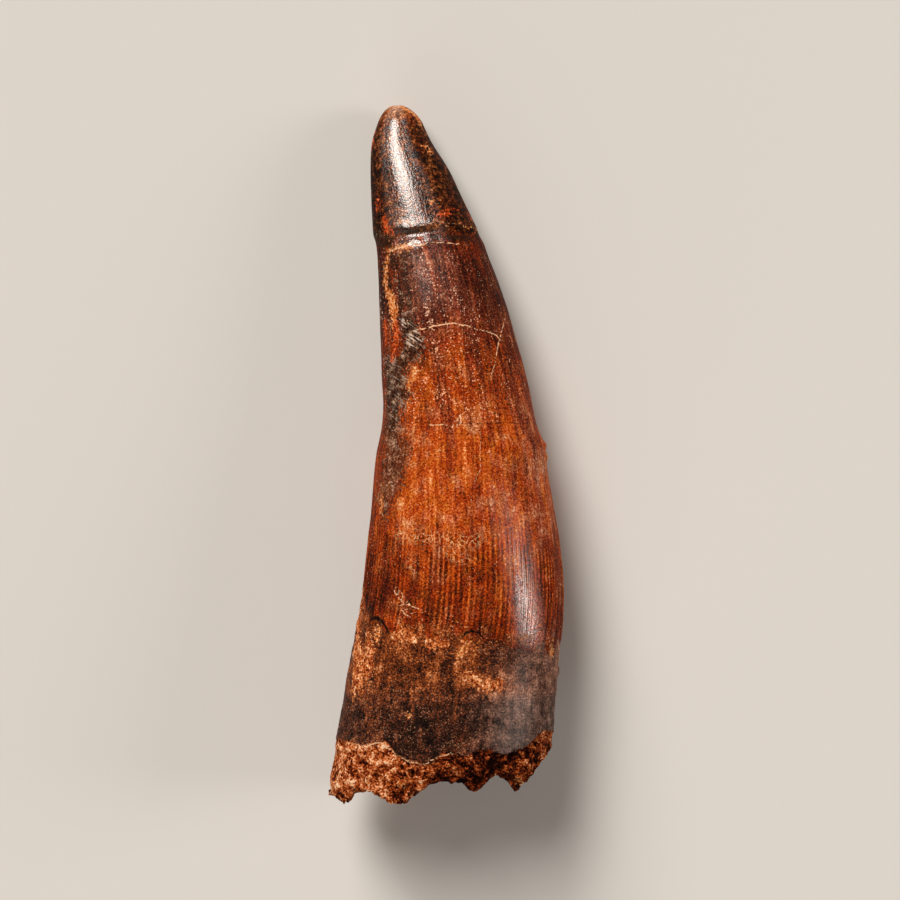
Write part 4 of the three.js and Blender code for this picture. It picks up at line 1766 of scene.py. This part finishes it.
    def _lines(self, canvas: Canvas, colour: Socket, ragged: Socket) -> tuple[Socket, Socket]:
        """Lay the fine cracks over the colour, with the painted highlight and shadow drawn as lines.

        Args:
            canvas: The tree to build it in.
            colour: The colour so far.
            ragged: Pattern of their edges.

        Returns:
            The colour with them, and their mask.
        """
        masks = []
        broken = self.broken.on(canvas)
        for name, tint in (("pale", self.pale_line), ("dark", self.dark_line)):
            near = canvas.fields[name + "_near"]
            away = canvas.total(canvas.fields[name + "_line"], (ragged, self.line_wander))
            away = canvas.add("Math", (away,), operation="ABSOLUTE")
            edge = canvas.total(0.0, (near, self.line_width * 1.5))
            line = canvas.add("MapRange", (away, edge, canvas.total(0.0, (edge, 0.4))))
            drawn = canvas.add("MapRange", (canvas.total(broken, (near, 0.4)), 0.0, 0.35))
            masks.append(canvas.add("Math", (line, drawn), operation="MULTIPLY"))
            colour = canvas.coated(colour, (masks[-1], tint))
        return colour, canvas.add("Math", tuple(masks), operation="MAXIMUM")


# ---------------------------------------------------------------- the tooth


@dataclass
class FossilTooth:
    """The tooth: its form, zones and relief as one closed mesh, dressed in its finishes.

    Attributes:
        form: The plain form.
        marks: Where the marks lie.
        relief: Heights of its surface.
        material: Its finishes.
        grain_radius: Radius that the grain's coordinates are wound at, on the widest section.
        widest: Half the width of that section.
    """

    form: ToothForm = field(default_factory=ToothForm)
    marks: Marks = field(default_factory=Marks)
    relief: Relief = field(default_factory=Relief)
    material: FossilMaterial = field(default_factory=FossilMaterial)
    grain_radius: float = 12.5
    widest: float = 15.0

    def build(self) -> bpy.types.Object:
        """Build the tooth's mesh and dress it.

        Returns:
            The object, in metres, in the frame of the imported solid.
        """
        grid = SkinGrid(self.form)
        zones = ToothZones(grid, self.marks)
        height, pore = self.relief.heights(zones)
        points = grid.points + grid.out * height[..., None] + self.relief.wear(grid)
        points[..., 2] = np.maximum(points[..., 2], 0)
        mesh = self._mesh(points, grid)
        fields = {**zones.fields, "pore": pore}
        for name, values in fields.items():
            layer = mesh.attributes.new(name, "FLOAT", "POINT")
            layer.data.foreach_set("value", self._flat(values).astype(np.float32))
        layer = mesh.attributes.new("grain", "FLOAT_VECTOR", "POINT")
        layer.data.foreach_set("vector", self._flat(self._grain(grid)).astype(np.float32).ravel())
        mesh.materials.append(self.material.make(tuple(fields)))
        tooth = bpy.data.objects.new("fossil_tooth", mesh)
        bpy.context.scene.collection.objects.link(tooth)
        return tooth

    def _grain(self, grid: SkinGrid) -> np.ndarray:
        """Give coordinates in which streaks run lengthwise and close round the tooth.

        Args:
            grid: The points.

        Returns:
            Coordinates in millimetres, with Y along the tooth.
        """
        y = grid.points[..., 1]
        radius = self.grain_radius * np.sqrt(self.form.half_width(y) / self.widest)
        return np.stack([radius * np.cos(grid.angle), y, radius * np.sin(grid.angle)], axis=-1)

    @staticmethod
    def _flat(values: np.ndarray) -> np.ndarray:
        """List a grid's values by vertex: the first row and the last are one point each.

        Args:
            values: Rows and columns of values.

        Returns:
            The values in one list.
        """
        first, last = values[:1].mean(axis=1), values[-1:].mean(axis=1)
        inner = values[1:-1].reshape(-1, *values.shape[2:])
        return np.concatenate([first, inner, last])

    def _mesh(self, points: np.ndarray, grid: SkinGrid) -> bpy.types.Mesh:
        """Join the grid's points into one closed mesh.

        Args:
            points: Rows and columns of points in millimetres.
            grid: The grid, for its sizes.

        Returns:
            The mesh, in metres.
        """
        columns, rows = grid.columns, len(points) - 2
        here = 1 + np.arange(rows)[:, None] * columns + np.arange(columns)
        beside = np.roll(here, -1, axis=1)
        quads = np.stack([here[:-1], here[1:], beside[1:], beside[:-1]], axis=-1).reshape(-1, 4)
        first = np.zeros(columns, int)
        last = np.full(columns, 1 + rows * columns)
        start = np.stack([first, here[0], beside[0]], axis=-1)
        finish = np.stack([here[-1], last, beside[-1]], axis=-1)
        mesh = bpy.data.meshes.new("fossil_tooth")
        faces = [*start.tolist(), *quads.tolist(), *finish.tolist()]
        mesh.from_pydata((self._flat(points) * MM).tolist(), [], faces)
        mesh.update()
        mesh.polygons.foreach_set("use_smooth", np.ones(len(faces), bool))
        return mesh


# ---------------------------------------------------------------- studio


@dataclass(frozen=True)
class SoftLight:
    """One broad, distant and soft studio light.

    Attributes:
        name: Its name.
        towards: Direction from the tooth to the light.
        spread: How wide it looks from the tooth, in degrees.
        strength: What falls on a surface that faces it, in watts per square metre.
        colour: As sRGB hex.
    """

    name: str
    towards: tuple[float, float, float]
    spread: float
    strength: float
    colour: str = "#ffffff"

    def place(self) -> None:
        """Add the light."""
        lamp = bpy.data.lights.new(self.name, "SUN")
        lamp.angle = math.radians(self.spread)
        lamp.energy = self.strength
        lamp.color = linear(self.colour)[:3]
        light = bpy.data.objects.new(self.name, lamp)
        light.rotation_mode = "QUATERNION"
        light.rotation_quaternion = Vector(self.towards).to_track_quat("Z", "Y")
        light.location = Vector(self.towards).normalized()
        bpy.context.scene.collection.objects.link(light)


@dataclass(frozen=True)
class Studio:
    """Pale floor, soft lights and a camera that looks straight down on the tooth.

    Attributes:
        view_width: Width of what the camera sees, at the tooth's middle height.
        aim: Point under the middle of the picture.
        lens, sensor: The camera's, in millimetres.
        sight: How far the camera sees, in metres.
        floor_side, floor_drop: Side of the floor, and how far it lies below the tooth.
        floor_roughness, floor_shine: Of its card, with the shine as a specular level.
        floor_colour, world_colour: Of the card floor, and of the wall far behind it.
        fill_colour, ambience: Colour and strength of the faint light from all round.
        lights: The lights.
    """

    view_width: float = 129.6
    aim: tuple[float, float, float] = (0.58, 0.43, 9.0)
    lens: float = 200.0
    sensor: float = 36.0
    sight: float = 50.0
    floor_side: float = 8000.0
    floor_drop: float = 0.03
    floor_roughness: float = 0.9
    floor_shine: float = 0.2
    floor_colour: str = "#d4d4d2"
    world_colour: str = "#d8d7d4"
    fill_colour: str = "#d8c6b2"
    ambience: float = 0.19
    lights: tuple[SoftLight, ...] = (
        SoftLight("upper_key", (-0.33, 0.52, 0.78), 27.0, 1.9, "#fff5ec"),
        SoftLight("lower_key", (-0.34, 0.77, 0.54), 27.0, 1.8, "#fff5ec"),
        SoftLight("side_light", (0.91, 0.05, 0.42), 22.0, 0.95, "#fff4ec"),
        SoftLight("base_light", (-0.3, -0.9, 0.32), 40.0, 0.55),
    )

    def build(self) -> None:
        """Add the floor, the lights, the world and the camera."""
        self._floor()
        for light in self.lights:
            light.place()
        self._world()
        self._camera()
        bpy.context.scene.view_settings.view_transform = "Standard"

    def _floor(self) -> None:
        """Add the pale floor of matt card."""
        half = 0.5 * self.floor_side * MM
        drop = -self.floor_drop * MM
        corners = [(-half, -half, drop), (half, -half, drop), (half, half, drop), (-half, half, drop)]
        mesh = bpy.data.meshes.new("floor")
        mesh.from_pydata(corners, [], [(0, 1, 2, 3)])
        material = bpy.data.materials.new("matt_pale_card")
        material.use_nodes = True
        shader = material.node_tree.nodes["Principled BSDF"]
        shader.inputs["Base Color"].default_value = linear(self.floor_colour)
        shader.inputs["Roughness"].default_value = self.floor_roughness
        shader.inputs["Specular IOR Level"].default_value = self.floor_shine
        mesh.materials.append(material)
        floor = bpy.data.objects.new("floor", mesh)
        bpy.context.scene.collection.objects.link(floor)

    def _world(self) -> None:
        """Add the far wall: pale where it is seen, and dim in what it adds to the light."""
        world = bpy.data.worlds.new("studio")
        bpy.context.scene.world = world
        world.use_nodes = True
        tree = world.node_tree
        tree.nodes.clear()
        seen = add_node(tree, "LightPath", output="Is Camera Ray")
        wall = linear(self.world_colour)
        dim = add_node(tree, "Background", (linear(self.fill_colour), self.ambience))
        pale = add_node(tree, "Background", (wall, 1.0))
        add_node(tree, "OutputWorld", (add_node(tree, "MixShader", (seen, dim, pale)),))

    def _camera(self) -> None:
        """Add the camera, straight above the aim."""
        data = bpy.data.cameras.new("camera")
        data.lens = self.lens
        data.sensor_width = self.sensor
        data.clip_end = self.sight
        camera = bpy.data.objects.new("camera", data)
        distance = self.view_width * self.lens / self.sensor
        camera.location = (Vector(self.aim) + Vector((0, 0, distance))) * MM
        bpy.context.scene.collection.objects.link(camera)
        bpy.context.scene.camera = camera


def main() -> None:
    """Build the studio and the tooth, and log the size of the tooth's mesh."""
    logging.basicConfig(level=logging.INFO, format="%(message)s")
    Studio().build()
    tooth = FossilTooth().build()
    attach(tooth, "root")
    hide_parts(NODE)
    log.info("fossil_tooth: %d vertices, %d faces", len(tooth.data.vertices), len(tooth.data.polygons))


if __name__ == "__main__":
    main()
